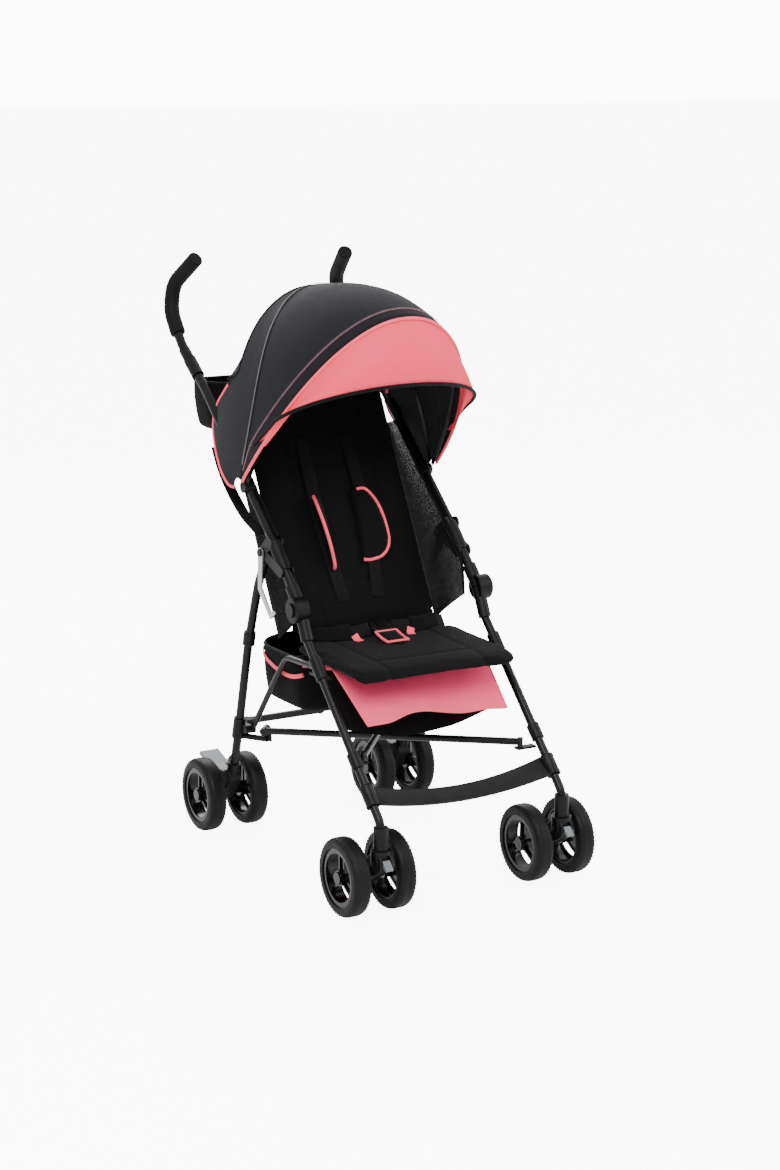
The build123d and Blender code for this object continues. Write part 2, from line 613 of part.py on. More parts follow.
def canopy_rear():
    """Rear canopy section with its back wall and the side flaps over the push tubes."""
    shell = canopy_shell(0, REAR_BOW_DEG, MID_BOW_DEG)
    wall_face = arch(CANOPY_HALF_W, arch_height(REAR_BOW_DEG), 200.0)
    wall = Pos(0, 0, -GAP - FABRIC_T) * extrude(wall_face, FABRIC_T)
    wall = Location(at(0, CANOPY_PIVOT)) * Rot(90 + REAR_BOW_DEG, 0, 0) * wall
    parts = shell.solids() + wall.solids()
    flap = [(150, 720), (166, 696), (270, 743), (310, 794), (284, 829), (240, 862), (190, 840)]
    for side in (-1, 1):
        low, high = span(side, CANOPY_HALF_W + GAP, CANOPY_HALF_W + GAP + FABRIC_T)
        parts += plate_x(low, high, flap).solids()
    return Compound(children=parts)


def canopy_front():
    return canopy_shell(1, MID_BOW_DEG + SHELL_SPLIT_DEG, FRONT_BOW_DEG)


def canopy_visor():
    """Visor in front of the canopy, cut off along its front hem."""
    shell = canopy_shell(2, FRONT_BOW_DEG + SHELL_SPLIT_DEG, VISOR_DEG)
    below = [(107, 762), (-110, 880), (-400, 1040), (-400, 500), (400, 500), (400, 762)]
    return shell - plate_x(-400, 400, below)


def bow(layer, degrees_forward):
    """Flat canopy bow just inside its shell."""
    inset = 3 * SHELL_STEP + layer * (BOW_T + 0.4)
    height = arch_height(degrees_forward) - inset
    outer = arch(CANOPY_HALF_W - inset, height, 17.0)
    inner = arch(CANOPY_HALF_W - inset - BOW_T, height - BOW_T, 0.0)
    flat = extrude(outer - inner, BOW_W)
    return Location(at(0, CANOPY_PIVOT)) * Rot(90 + degrees_forward, 0, 0) * flat


def seat():
    length = SEAT_REAR_Y - SEAT_FRONT_Y
    pad = Box(2 * SEAT_HALF_W, length, SEAT_T)
    pad = fillet(pad.edges().filter_by(Axis.Z), 22.0)
    pad = fillet(pad.edges().group_by(Axis.Z)[-1], 5.0)
    return Pos(0, (SEAT_FRONT_Y + SEAT_REAR_Y) / 2, SEAT_TOP_Z - SEAT_T / 2) * pad


def on_backrest(x, up, forward):
    """A point given by its distance up the backrest and out from its front face."""
    run = direction(BACKREST_FOOT, BACKREST_TOP)
    y = BACKREST_FOOT[0] + run[0] * up - run[1] * forward
    z = BACKREST_FOOT[1] + run[1] * up + run[0] * forward
    return (x, y, z)


BACKREST_LENGTH = (Vector(0, *BACKREST_TOP) - Vector(0, *BACKREST_FOOT)).length
BACKREST_LEAN = degrees(atan2(BACKREST_TOP[0] - BACKREST_FOOT[0], BACKREST_TOP[1] - BACKREST_FOOT[1]))


def backrest():
    pad = Box(2 * BACKREST_HALF_W, BACKREST_T, BACKREST_LENGTH)
    pad = fillet(pad.edges().filter_by(Axis.Y), 24.0)
    lean = Rot(-BACKREST_LEAN, 0, 0)
    return Location(on_backrest(0, BACKREST_LENGTH / 2 + 4.0, -BACKREST_T / 2)) * lean * pad


def pad_on_backrest(x, low, high, width, thick):
    """A flat pad that lies on the backrest."""
    body = Box(width, thick, high - low)
    return Location(on_backrest(x, (low + high) / 2, thick / 2 + GAP)) * Rot(-BACKREST_LEAN, 0, 0) * body


def shoulder_straps():
    parts = []
    for side in (-1, 1):
        strap = pad_on_backrest(side * 52.0, 100.0, 380.0, 25.0, 2.0)
        pad = pad_on_backrest(side * 52.0, 128.0, 262.0, 46.0, 9.0)
        parts.append((strap + pad).solids()[0])
    return Compound(children=parts)


def lap_belt():
    """Two waist belts and the crotch strap, in front of the bight."""
    parts = []
    for side in (-1, 1):
        low, high = span(side, 24.0, SEAT_HALF_W - 16.0)
        parts.append(Pos((low + high) / 2, 6.0, SEAT_TOP_Z + 10.0) * Box(high - low, 26.0, 4.0))
    parts.append(Pos(0, -46.0, SEAT_TOP_Z + 6.0) * Box(44.0, 42.0, 9.0))
    return Compound(children=[part.solids()[0] for part in parts])


def buckle_place():
    return Location(BUCKLE_AT) * Rot(BUCKLE_TILT, 0, 0)


def buckle():
    body = Cylinder(22.0, 12.0)
    body = fillet(body.edges().filter_by(GeomType.CIRCLE).sort_by(Axis.Z)[-1], 3.0)
    body -= Pos(0, 0, 3.0) * Cylinder(9.0 + 0.3, 12.0)
    return buckle_place() * body


def buckle_button():
    return buckle_place() * Pos(0, 0, 4.5) * Cylinder(9.0, 6.0)


def calf_panel():
    """Fabric panel that hangs forwards and down from under the seat."""
    thick = 3.0
    corners = [CALF_TOP, (CALF_TOP[0], CALF_TOP[1] + thick), (CALF_FOOT[0], CALF_FOOT[1] + thick), CALF_FOOT]
    return plate_x(-SEAT_HALF_W + 10.0, SEAT_HALF_W - 10.0, corners)


def basket():
    """Storage basket under the seat, open at the top."""
    y_mid = sum(BASKET_Y) / 2
    z_mid = sum(BASKET_Z) / 2
    depth = BASKET_Y[1] - BASKET_Y[0]
    height = BASKET_Z[1] - BASKET_Z[0]
    outer = fillet(Box(2 * BASKET_HALF_W, depth, height).edges().filter_by(Axis.Z), 30.0)
    inner = Box(2 * BASKET_HALF_W - 5.0, depth - 5.0, height)
    inner = fillet(inner.edges().filter_by(Axis.Z), 27.5)
    return Pos(0, y_mid, z_mid) * (outer - Pos(0, 0, 2.5) * inner)


def rear_pouch():
    """Pouch behind the backrest, between the push tubes, open at the top."""
    outer = plate_x(-POUCH_HALF_W, POUCH_HALF_W, [(318, 846), (396, 850), (380, 776), (330, 730), (300, 772)])
    inner_w = POUCH_HALF_W - 3.0
    inner = plate_x(-inner_w, inner_w, [(321, 870), (395, 870), (377, 778), (331, 734), (303.5, 772)])
    return outer - inner


def footrest():
    """Flexible footrest strap with a sleeve round each front leg."""
    end = SIDE_X - LEG_D / 2
    top = ThreePointArc((-end, 0), (0, -FOOTREST_SAG), (end, 0))
    under = ThreePointArc((end, -3.0), (0, -FOOTREST_SAG - 3.0), (-end, -3.0))
    edge_l = Line((end, 0), (end, -3.0))
    edge_r = Line((-end, -3.0), (-end, 0))
    face = Plane.XZ * make_face([top, edge_l, under, edge_r])
    band = extrude(face, FOOTREST_DEPTH / 2, both=True)
    band = Location(at(0, FOOTREST_AT)) * Rot(FOOTREST_TILT, 0, 0) * band
    for side in (-1, 1):
        band += sleeve(side, FOOTREST_AT, FRONT_RUN, 40.0, LEG_D)
    for side in (-1, 1):
        band -= front_leg_space(side)
    return band


def latch_hook():
    """Storage hook that hangs on the right leg bolt."""
    near = SIDE_X + 14.0
    low, high = span(-1, near, near + 2.5)
    body = link_x(low, high, LEG_PIVOT, 9.0, HOOK_BENDS[0], 7.0)
    body += link_x(low, high, HOOK_BENDS[0], 7.0, HOOK_BENDS[1], 6.0)
    body += link_x(low, high, HOOK_BENDS[1], 6.0, HOOK_TIP, 4.0)
    return body - disc_x(low - 5, high + 5, LEG_PIVOT, BOLT_R + RUN)


def carry_strap():
    """Slack webbing strap from the canopy's rear hem down to the leg bracket."""
    x = -(SIDE_X + 4.0)
    path = FilletPolyline(*[at(x, point) for point in STRAP_ROUTE], radius=60.0)
    start = Plane(origin=path @ 0, x_dir=(1, 0, 0), z_dir=path % 0)
    return sweep(start * Rectangle(22.0, 2.0), path=path)


# ---- all pieces -------------------------------------------------------------------------------
SIDES = (("right", -1), ("left", 1))

PIECES = {}


def add(name, piece):
    PIECES[name] = piece


for word, side in SIDES:
    add(f"{word}_front_leg", front_leg(side))
    add(f"{word}_push_tube", push_tube(side))
    add(f"{word}_side_fittings", side_fittings(side))
    add(f"{word}_grip", grip(side))
    add(f"{word}_rear_leg", rear_leg(side))
    add(f"{word}_leg_knuckle", leg_knuckle(side))
    add(f"{word}_strut", strut(side))
    add(f"{word}_brace_bar", brace_bar(side))
    add(f"{word}_cross_link", cross_link(side))
    add(f"{word}_caster_fork", caster_fork(side))
    add(f"{word}_swivel_lock", swivel_lock(side))
    add(f"{word}_rear_housing", rear_housing(side))
    add(f"{word}_brake_pedal", brake_pedal(side))
    for end, axle_y in (("front", FRONT_AXLE_Y), ("rear", REAR_AXLE_Y)):
        for place, outward in (("outer", side), ("inner", -side)):
            centre = Pos(side * SIDE_X + outward * TWIN_SPACING / 2, axle_y, WHEEL_R)
            add(f"{word}_{end}_{place}_tyre", centre * tyre())
            add(f"{word}_{end}_{place}_rim", centre * rim(outward))

add("fold_pedal", fold_pedal())
add("latch_hook", latch_hook())
add("footrest", footrest())
add("seat", seat())
add("backrest", backrest())
add("shoulder_straps", shoulder_straps())
add("lap_belt", lap_belt())
add("buckle", buckle())
add("buckle_button", buckle_button())
add("calf_panel", calf_panel())
add("basket", basket())
add("rear_pouch", rear_pouch())
add("carry_strap", carry_strap())
add("canopy_rear", canopy_rear())
add("canopy_front", canopy_front())
add("canopy_visor", canopy_visor())
add("canopy_rear_bow", bow(0, REAR_BOW_DEG + 3.0))
add("canopy_front_bow", bow(1, FRONT_BOW_DEG - 1.0))

# ---- origin on the floor below the middle -----------------------------------------------------
boxes = [piece.bounding_box() for piece in PIECES.values()]
SHIFT_Y = -(min(box.min.Y for box in boxes) + max(box.max.Y for box in boxes)) / 2

os.makedirs("parts", exist_ok=True)
for name, piece in PIECES.items():
    export_step(Pos(0, SHIFT_Y, 0) * piece, f"parts/{name}.step")
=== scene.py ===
"""Umbrella stroller: fabrics, finishes, floor, light and camera over the CAD frame."""
import json
import math

import bmesh
import bpy
import numpy as np
from mathutils import Matrix, Vector, noise

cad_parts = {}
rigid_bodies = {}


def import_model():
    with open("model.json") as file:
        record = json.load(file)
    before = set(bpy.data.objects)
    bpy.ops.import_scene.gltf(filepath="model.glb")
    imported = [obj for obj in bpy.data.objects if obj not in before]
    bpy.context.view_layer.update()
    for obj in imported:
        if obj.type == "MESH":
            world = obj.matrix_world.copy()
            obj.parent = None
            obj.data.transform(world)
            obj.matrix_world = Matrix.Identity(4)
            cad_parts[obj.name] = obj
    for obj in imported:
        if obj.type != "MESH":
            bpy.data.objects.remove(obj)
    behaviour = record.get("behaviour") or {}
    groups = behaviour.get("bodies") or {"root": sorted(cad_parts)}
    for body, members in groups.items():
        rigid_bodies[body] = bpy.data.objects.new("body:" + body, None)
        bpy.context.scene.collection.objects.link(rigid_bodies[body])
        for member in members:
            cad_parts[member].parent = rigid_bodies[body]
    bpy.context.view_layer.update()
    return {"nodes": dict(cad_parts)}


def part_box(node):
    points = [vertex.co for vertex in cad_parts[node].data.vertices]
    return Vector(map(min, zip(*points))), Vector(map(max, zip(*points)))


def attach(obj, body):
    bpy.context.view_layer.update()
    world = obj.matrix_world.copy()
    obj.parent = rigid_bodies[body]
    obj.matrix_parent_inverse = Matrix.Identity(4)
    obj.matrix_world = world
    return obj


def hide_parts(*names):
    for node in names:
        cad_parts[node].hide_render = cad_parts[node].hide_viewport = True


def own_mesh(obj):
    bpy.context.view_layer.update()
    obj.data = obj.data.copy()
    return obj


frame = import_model()
NODES = frame["nodes"]

# ---- driving sizes, in millimetres unless a name says otherwise --------------------------------
MM = 0.001
FRONT_AXLE_Y = -276.0                    # from midway between the axles
axle_low, axle_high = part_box("right_front_outer_tyre")
SHIFT = (axle_low[1] + axle_high[1]) / 2 - FRONT_AXLE_Y * MM
SIDE_X = 186.0
PIVOT_Y, PIVOT_Z = 157.2, 680.8          # canopy clamp
CANOPY_HALF_W = 208.0
CANOPY_STRAIGHT = 30.0                   # straight part of the arch's sides
ARCH_START = 17.0
REAR_DEG = -16.0
FABRIC_T = 1.1
BACKREST_FOOT = (46.0, 410.0)
BACKREST_TOP = (276.0, 856.0)
SEAT_TOP_Z = 410.0


def place(x, y, z):
    """A point of the stroller in millimetres, as a point of the frame in metres."""
    return Vector((x * MM, y * MM + SHIFT, z * MM))


# ---- mesh helpers ------------------------------------------------------------------------------
def new_piece(name, verts, faces, material, smooth=True):
    mesh = bpy.data.meshes.new(name)
    mesh.from_pydata([tuple(v) for v in verts], [], faces)
    mesh.update()
    piece = bpy.data.objects.new(name, mesh)
    bpy.context.scene.collection.objects.link(piece)
    if material:
        mesh.materials.append(material)
    for face in mesh.polygons:
        face.use_smooth = smooth
    return piece


def settled(piece):
    """Turns a piece with modifiers into a plain mesh."""
    graph = bpy.context.evaluated_depsgraph_get()
    graph.update()
    mesh = bpy.data.meshes.new_from_object(piece.evaluated_get(graph))
    mesh.name = piece.name
    if piece.type == "MESH":
        piece.modifiers.clear()
        piece.data = mesh
        return piece
    plain = bpy.data.objects.new(piece.name, mesh)
    bpy.context.scene.collection.objects.link(plain)
    name = piece.name
    bpy.data.objects.remove(piece)
    plain.name = name
    return plain


def face_out(piece):
    work = bmesh.new()
    work.from_mesh(piece.data)
    bmesh.ops.remove_doubles(work, verts=work.verts, dist=1e-6)
    bmesh.ops.recalc_face_normals(work, faces=work.faces)
    work.to_mesh(piece.data)
    work.free()
    for face in piece.data.polygons:
        face.use_smooth = True
    return piece


def thickened(piece, thick, levels=1):
    """Gives a sheet its thickness, half on each side, and one subdivision."""
    shell = piece.modifiers.new("thickness", "SOLIDIFY")
    shell.thickness = thick * MM
    shell.offset = 0.0
    if levels:
        smooth = piece.modifiers.new("smooth", "SUBSURF")
        smooth.levels = smooth.render_levels = levels
    return settled(piece)


def cut_area(piece):
    """Area of an unthickened sheet, in square metres."""
    return sum(face.area for face in piece.data.polygons)


def sheet_from_rows(name, rows, material, flip=False):
    """A sheet through rows of points that all have the same count."""
    wide = len(rows[0])
    verts = [point for row in rows for point in row]
    faces = []
    for i in range(len(rows) - 1):
        for j in range(wide - 1):
            a = i * wide + j
            quad = (a, a + 1, a + wide + 1, a + wide)
            faces.append(tuple(reversed(quad)) if flip else quad)
    return new_piece(name, verts, faces, material)


def tube_along(name, points, radius, material, closed=False):
    """A round welt or binding along close points."""
    curve = bpy.data.curves.new(name, "CURVE")
    curve.dimensions = "3D"
    curve.bevel_depth = radius * MM
    curve.bevel_resolution = 3
    curve.use_fill_caps = True
    spline = curve.splines.new("POLY")
    spline.points.add(len(points) - 1)
    for target, point in zip(spline.points, points):
        target.co = (*point, 1.0)
    spline.use_cyclic_u = closed
    piece = bpy.data.objects.new(name, curve)
    bpy.context.scene.collection.objects.link(piece)
    piece = settled(piece)
    piece.data.materials.clear()
    piece.data.materials.append(material)
    return face_out(piece)


def smooth_line(points, count):
    """Close points on a smooth line through a few places, evenly spaced."""
    stations = [0.0]
    for a, b in zip(points, points[1:]):
        stations.append(stations[-1] + (Vector(b) - Vector(a)).length)
    line = []
    for k in range(count):
        s = stations[-1] * k / (count - 1)
        i = max(0, min(len(points) - 2, sum(1 for q in stations[1:-1] if q <= s)))
        u = (s - stations[i]) / (stations[i + 1] - stations[i])
        p0 = Vector(points[max(i - 1, 0)])
        p1 = Vector(points[i])
        p2 = Vector(points[i + 1])
        p3 = Vector(points[min(i + 2, len(points) - 1)])
        line.append(0.5 * (2 * p1 + (p2 - p0) * u + (2 * p0 - 5 * p1 + 4 * p2 - p3) * u ** 2
                           + (3 * p1 - p0 - 3 * p2 + p3) * u ** 3))
    return line


def strap_along(name, line, across, width, thick, material):
    """Flat webbing along a line; across is one direction or one for each point."""
    section = []
    for u, v in ((-0.5, -0.3), (-0.47, -0.5), (0.47, -0.5), (0.5, -0.3),
                 (0.5, 0.3), (0.47, 0.5), (-0.47, 0.5), (-0.5, 0.3)):
        section.append((u * width * MM, v * thick * MM))
    verts = []
    for i, point in enumerate(line):
        ahead = Vector(line[min(i + 1, len(line) - 1)])
        behind = Vector(line[max(i - 1, 0)])
        run = (ahead - behind).normalized()
        side = Vector(across[i] if isinstance(across, list) else across)
        side = (side - run * side.dot(run)).normalized()
        up = run.cross(side)
        verts += [Vector(point) + side * u + up * v for u, v in section]
    count = len(section)
    faces = []
    for i in range(len(line) - 1):
        for j in range(count):
            k = (j + 1) % count
            faces.append((i * count + j, i * count + k, (i + 1) * count + k, (i + 1) * count + j))
    faces.append(tuple(reversed(range(count))))
    faces.append(tuple((len(line) - 1) * count + j for j in range(count)))
    return face_out(new_piece(name, verts, faces, material))


def joined(name, pieces):
    """Several meshes as one piece; their materials stay."""
    work = bpy.context.view_layer.objects
    for other in work.selected:
        other.select_set(False)
    for part in pieces:
        part.select_set(True)
    work.active = pieces[0]
    bpy.ops.object.join()
    pieces[0].name = name
    pieces[0].data.name = name
    pieces[0].select_set(False)
    return pieces[0]


def on_frame(piece, body, finish, *nodes, folds=True):
    """The piece moves with its body and stands for its CAD nodes; with folds it gets a mesh of its own.
    """
    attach(piece, body)
    if nodes:
        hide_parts(*nodes)
    if folds:
        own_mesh(piece)
    return piece


# ---- shader groups -----------------------------------------------------------------------------
def shader_group(name, inputs, outputs):
    group = bpy.data.node_groups.new(name, "ShaderNodeTree")
    for label, value in inputs:
        socket = group.interface.new_socket(label, in_out="INPUT", socket_type="NodeSocketFloat")
        socket.default_value = value
    for label in outputs:
        group.interface.new_socket(label, in_out="OUTPUT", socket_type="NodeSocketFloat")
    return group, group.nodes.new("NodeGroupInput"), group.nodes.new("NodeGroupOutput")


def maths(tree, kind, a, b=None):
    node = tree.nodes.new("ShaderNodeMath")
    node.operation = kind
    for socket, value in zip(node.inputs, (a, b)):
        if value is None:
            continue
        if isinstance(value, (int, float)):
            socket.default_value = value
        else:
            tree.links.new(value, socket)
    return node.outputs[0]


def noise_on(tree, vector, scale, detail, rough=0.55):
    node = tree.nodes.new("ShaderNodeTexNoise")
    tree.links.new(vector, node.inputs["Vector"])
    if isinstance(scale, (int, float)):
        node.inputs["Scale"].default_value = scale
    else:
        tree.links.new(scale, node.inputs["Scale"])
    node.inputs["Detail"].default_value = detail
    node.inputs["Roughness"].default_value = rough
    return node.outputs["Fac"]


def object_xyz(tree):
    coordinates = tree.nodes.new("ShaderNodeTexCoord")
    split = tree.nodes.new("ShaderNodeSeparateXYZ")
    tree.links.new(coordinates.outputs["Object"], split.inputs[0])
    return coordinates.outputs["Object"], split.outputs


def weave_group():
    """Plain weave: Height for the threads, Tone for the slow changes of a worn cloth."""
    group, given, out = shader_group("plain_weave", (("Threads", 900.0), ("Slub", 0.25)),
                                     ("Height", "Tone"))
    place_, (x, y, z) = object_xyz(group)
    turn = maths(group, "MULTIPLY", given.outputs["Threads"], 2 * math.pi)
    warp = maths(group, "SINE", maths(group, "MULTIPLY", maths(group, "ADD", x, y), turn))
    lean = maths(group, "SUBTRACT", z, maths(group, "MULTIPLY", y, 0.5))
    weft = maths(group, "SINE", maths(group, "MULTIPLY", lean, turn))
    cross = maths(group, "MULTIPLY", warp, weft)
    slub = maths(group, "MULTIPLY", noise_on(group, place_, 240.0, 3.0), given.outputs["Slub"])
    threads = maths(group, "MULTIPLY_ADD", cross, 0.5)
    group.links.new(maths(group, "ADD", threads, slub), out.inputs["Height"])
    group.links.new(noise_on(group, place_, 14.0, 4.0, 0.6), out.inputs["Tone"])
    return group


def grain_group():
    """Moulded grain: Height for the fine texture, Scuff for rubbed patches."""
    group, given, out = shader_group("moulded_grain", (("Grain", 900.0), ("Patch", 26.0)),
                                     ("Height", "Scuff"))
    place_, _ = object_xyz(group)
    group.links.new(noise_on(group, place_, given.outputs["Grain"], 2.0, 0.5), out.inputs["Height"])
    patch = noise_on(group, place_, given.outputs["Patch"], 8.0, 0.65)
    edge = group.nodes.new("ShaderNodeMapRange")
    edge.inputs["From Min"].default_value = 0.45
    edge.inputs["From Max"].default_value = 0.75
    group.links.new(patch, edge.inputs["Value"])
    group.links.new(edge.outputs["Result"], out.inputs["Scuff"])
    return group


PLAIN_WEAVE = weave_group()
MOULDED_GRAIN = grain_group()


def surface(name, group, settings, colours, mask, rough, bump, sockets):
    """A material from one group: two colours and two roughnesses mixed by mask, and a bump."""
    material = bpy.data.materials.new(name)
    material.use_nodes = True
    tree = material.node_tree
    bsdf = tree.nodes["Principled BSDF"]
    for label, value in sockets.items():
        bsdf.inputs[label].default_value = value
    effect = tree.nodes.new("ShaderNodeGroup")
    effect.node_tree = group
    for label, value in settings.items():
        effect.inputs[label].default_value = value
    mix = tree.nodes.new("ShaderNodeMix")
    mix.data_type = "RGBA"
    tree.links.new(effect.outputs[mask], mix.inputs["Factor"])
    mix.inputs[6].default_value = (*colours[0], 1.0)
    mix.inputs[7].default_value = (*colours[1], 1.0)
    tree.links.new(mix.outputs[2], bsdf.inputs["Base Color"])
    spread = tree.nodes.new("ShaderNodeMapRange")
    spread.inputs["To Min"].default_value = rough[0]
    spread.inputs["To Max"].default_value = rough[1]
    tree.links.new(effect.outputs[mask], spread.inputs["Value"])
    tree.links.new(spread.outputs["Result"], bsdf.inputs["Roughness"])
    relief = tree.nodes.new("ShaderNodeBump")
    relief.inputs["Strength"].default_value = bump[0]
    relief.inputs["Distance"].default_value = bump[1] * MM
    tree.links.new(effect.outputs["Height"], relief.inputs["Height"])
    tree.links.new(relief.outputs["Normal"], bsdf.inputs["Normal"])
    return material


def cloth(name, dark, light, threads=900.0, rough=(0.78, 0.92), sheen=0.25, tint=(1.0, 1.0, 1.0),
          bump=0.35):
    return surface(name, PLAIN_WEAVE, {"Threads": threads}, (dark, light), "Tone", rough, (bump, 0.4),
                   {"Sheen Weight": sheen, "Sheen Roughness": 0.45, "Sheen Tint": (*tint, 1.0),
                    "Specular IOR Level": 0.09})


def moulded(name, dark, light, rough, grain=900.0, bump=0.15, level=0.5, **more):
    return surface(name, MOULDED_GRAIN, {"Grain": grain}, (dark, light), "Scuff", rough, (bump, 0.3),
                   {"Specular IOR Level": level, **more})


FRAME_PAINT = moulded("satin_black_paint", (0.002, 0.002, 0.0023), (0.004, 0.004, 0.0045),
                      (0.3, 0.4), 1500.0, 0.05, level=0.2)
LINK_PAINT = moulded("gloss_black_links", (0.002, 0.002, 0.0022), (0.005, 0.005, 0.005),
                     (0.26, 0.4), 1200.0, 0.05, level=0.22)
FITTING_PLASTIC = moulded("fitting_plastic", (0.002, 0.002, 0.0022), (0.0045, 0.0045, 0.005),
                          (0.38, 0.5), 1800.0, 0.12, level=0.16)
RIM_PLASTIC = moulded("rim_plastic", (0.0018, 0.0018, 0.002), (0.003, 0.003, 0.0033),
                      (0.18, 0.28), 1400.0, 0.04, level=0.4)
TYRE_FOAM = moulded("tyre_foam", (0.003, 0.003, 0.0033), (0.007, 0.007, 0.0075),
                    (0.45, 0.62), 700.0, 0.3, level=0.13)
GRIP_FOAM = moulded("grip_foam", (0.002, 0.002, 0.0022), (0.0045, 0.0045, 0.005),
                    (0.6, 0.78), 620.0, 0.55, level=0.12)
PEDAL_PLASTIC = moulded("pedal_plastic", (0.1, 0.112, 0.122), (0.17, 0.185, 0.2),
                        (0.38, 0.5), 1500.0, 0.1)
HOOK_STEEL = moulded("hook_steel", (0.42, 0.43, 0.44), (0.55, 0.56, 0.57),
                     (0.26, 0.42), 900.0, 0.05, Metallic=0.85)
BUCKLE_PLASTIC = moulded("buckle_plastic", (0.002, 0.002, 0.0022), (0.0045, 0.0045, 0.005),
                         (0.3, 0.42), 1600.0, 0.1, level=0.2)
FOOTREST_BAND = moulded("footrest_band", (0.006, 0.006, 0.0063), (0.011, 0.011, 0.0115),
                        (0.5, 0.62), 1100.0, 0.25, level=0.16)
CANOPY_CLOTH = cloth("canopy_charcoal", (0.0055, 0.0055, 0.0078), (0.0085, 0.0085, 0.0115), sheen=0.05)
SEAT_CLOTH = cloth("seat_black", (0.0012, 0.0012, 0.0014), (0.003, 0.003, 0.0033), 780.0, sheen=0.03)
LINING_CLOTH = cloth("lining_black", (0.001, 0.001, 0.0012), (0.0025, 0.0025, 0.0028), 820.0, sheen=0.02)
PINK_CLOTH = cloth("pink_cloth", (0.84, 0.042, 0.085), (0.88, 0.06, 0.11),
                   850.0, (0.7, 0.85), 0.03, (1.0, 0.7, 0.75))
CALF_PINK = cloth("calf_pink", (0.82, 0.055, 0.135), (0.87, 0.08, 0.18),
                  850.0, (0.68, 0.85), 0.04, (1.0, 0.7, 0.8))
PINK_TRIM = cloth("pink_trim", (0.84, 0.075, 0.12), (0.88, 0.105, 0.16), 1300.0, (0.55, 0.7), 0.05)
BINDING = cloth("black_binding", (0.0015, 0.0015, 0.0017), (0.003, 0.003, 0.0033),
                1500.0, (0.6, 0.75), 0.03)
WEBBING = cloth("harness_webbing", (0.0015, 0.0015, 0.0017), (0.0035, 0.0035, 0.004),
                520.0, (0.6, 0.75), 0.04, bump=0.6)
THREAD_GREY = cloth("grey_thread", (0.16, 0.15, 0.16), (0.26, 0.24, 0.25), 2500.0, (0.5, 0.6), 0.1)
THREAD_PINK = cloth("pink_thread", (0.5, 0.14, 0.18), (0.6, 0.2, 0.25), 2500.0, (0.5, 0.6), 0.1)


def net_material():
    """Knitted net: round holes all over, on the piece's own map."""
    material = cloth("side_net", (0.0015, 0.0015, 0.0015), (0.003, 0.003, 0.003), 900.0, sheen=0.02)
    tree = material.node_tree
    uv = tree.nodes.new("ShaderNodeUVMap")
    uv.uv_map = "cut"
    cells = tree.nodes.new("ShaderNodeTexVoronoi")
    cells.inputs["Scale"].default_value = 420.0
    cells.inputs["Randomness"].default_value = 0.12
    tree.links.new(uv.outputs["UV"], cells.inputs["Vector"])
    hole = tree.nodes.new("ShaderNodeMapRange")
    hole.inputs["From Min"].default_value = 0.15
    hole.inputs["From Max"].default_value = 0.22
    hole.inputs["To Min"].default_value = 0.55
    hole.inputs["To Max"].default_value = 1.0
    tree.links.new(cells.outputs["Distance"], hole.inputs["Value"])
    tree.links.new(hole.outputs["Result"], tree.nodes["Principled BSDF"].inputs["Alpha"])
    return material


SIDE_NET = net_material()


# ---- finishes of the CAD nodes -----------------------------------------------------------------
NODE_FINISH = (
    ("tyre", TYRE_FOAM), ("rim", RIM_PLASTIC), ("grip", GRIP_FOAM), ("cross_link", LINK_PAINT),
    ("strut", LINK_PAINT), ("brace_bar", LINK_PAINT), ("front_leg", FRAME_PAINT),
    ("push_tube", FRAME_PAINT),
    ("rear_leg", FRAME_PAINT), ("leg_knuckle", FITTING_PLASTIC), ("side_fittings", FITTING_PLASTIC),
    ("caster_fork", FITTING_PLASTIC), ("rear_housing", FITTING_PLASTIC), ("swivel_lock", PEDAL_PLASTIC),
    ("brake_pedal", PEDAL_PLASTIC), ("fold_pedal", FITTING_PLASTIC), ("latch_hook", HOOK_STEEL),
    ("buckle_button", BUCKLE_PLASTIC), ("buckle", BUCKLE_PLASTIC), ("bow", FITTING_PLASTIC),
)
for node_name, node_object in NODES.items():
    for word, finish_material in NODE_FINISH:
        if node_name.endswith(word):
            for index in range(max(1, len(node_object.material_slots))):
                if node_object.material_slots:
                    node_object.material_slots[index].material = finish_material
                else:
                    node_object.data.materials.append(finish_material)
            break


# ---- geometry node trees -----------------------------------------------------------------------
def geometry_tree(name, inputs):
    tree = bpy.data.node_groups.new(name, "GeometryNodeTree")
    tree.interface.new_socket("Geometry", in_out="INPUT", socket_type="NodeSocketGeometry")
    for label, kind, value in inputs:
        socket = tree.interface.new_socket(label, in_out="INPUT", socket_type=kind)
        if value is not None:
            socket.default_value = value
    tree.interface.new_socket("Geometry", in_out="OUTPUT", socket_type="NodeSocketGeometry")
    return tree, tree.nodes.new("NodeGroupInput"), tree.nodes.new("NodeGroupOutput")


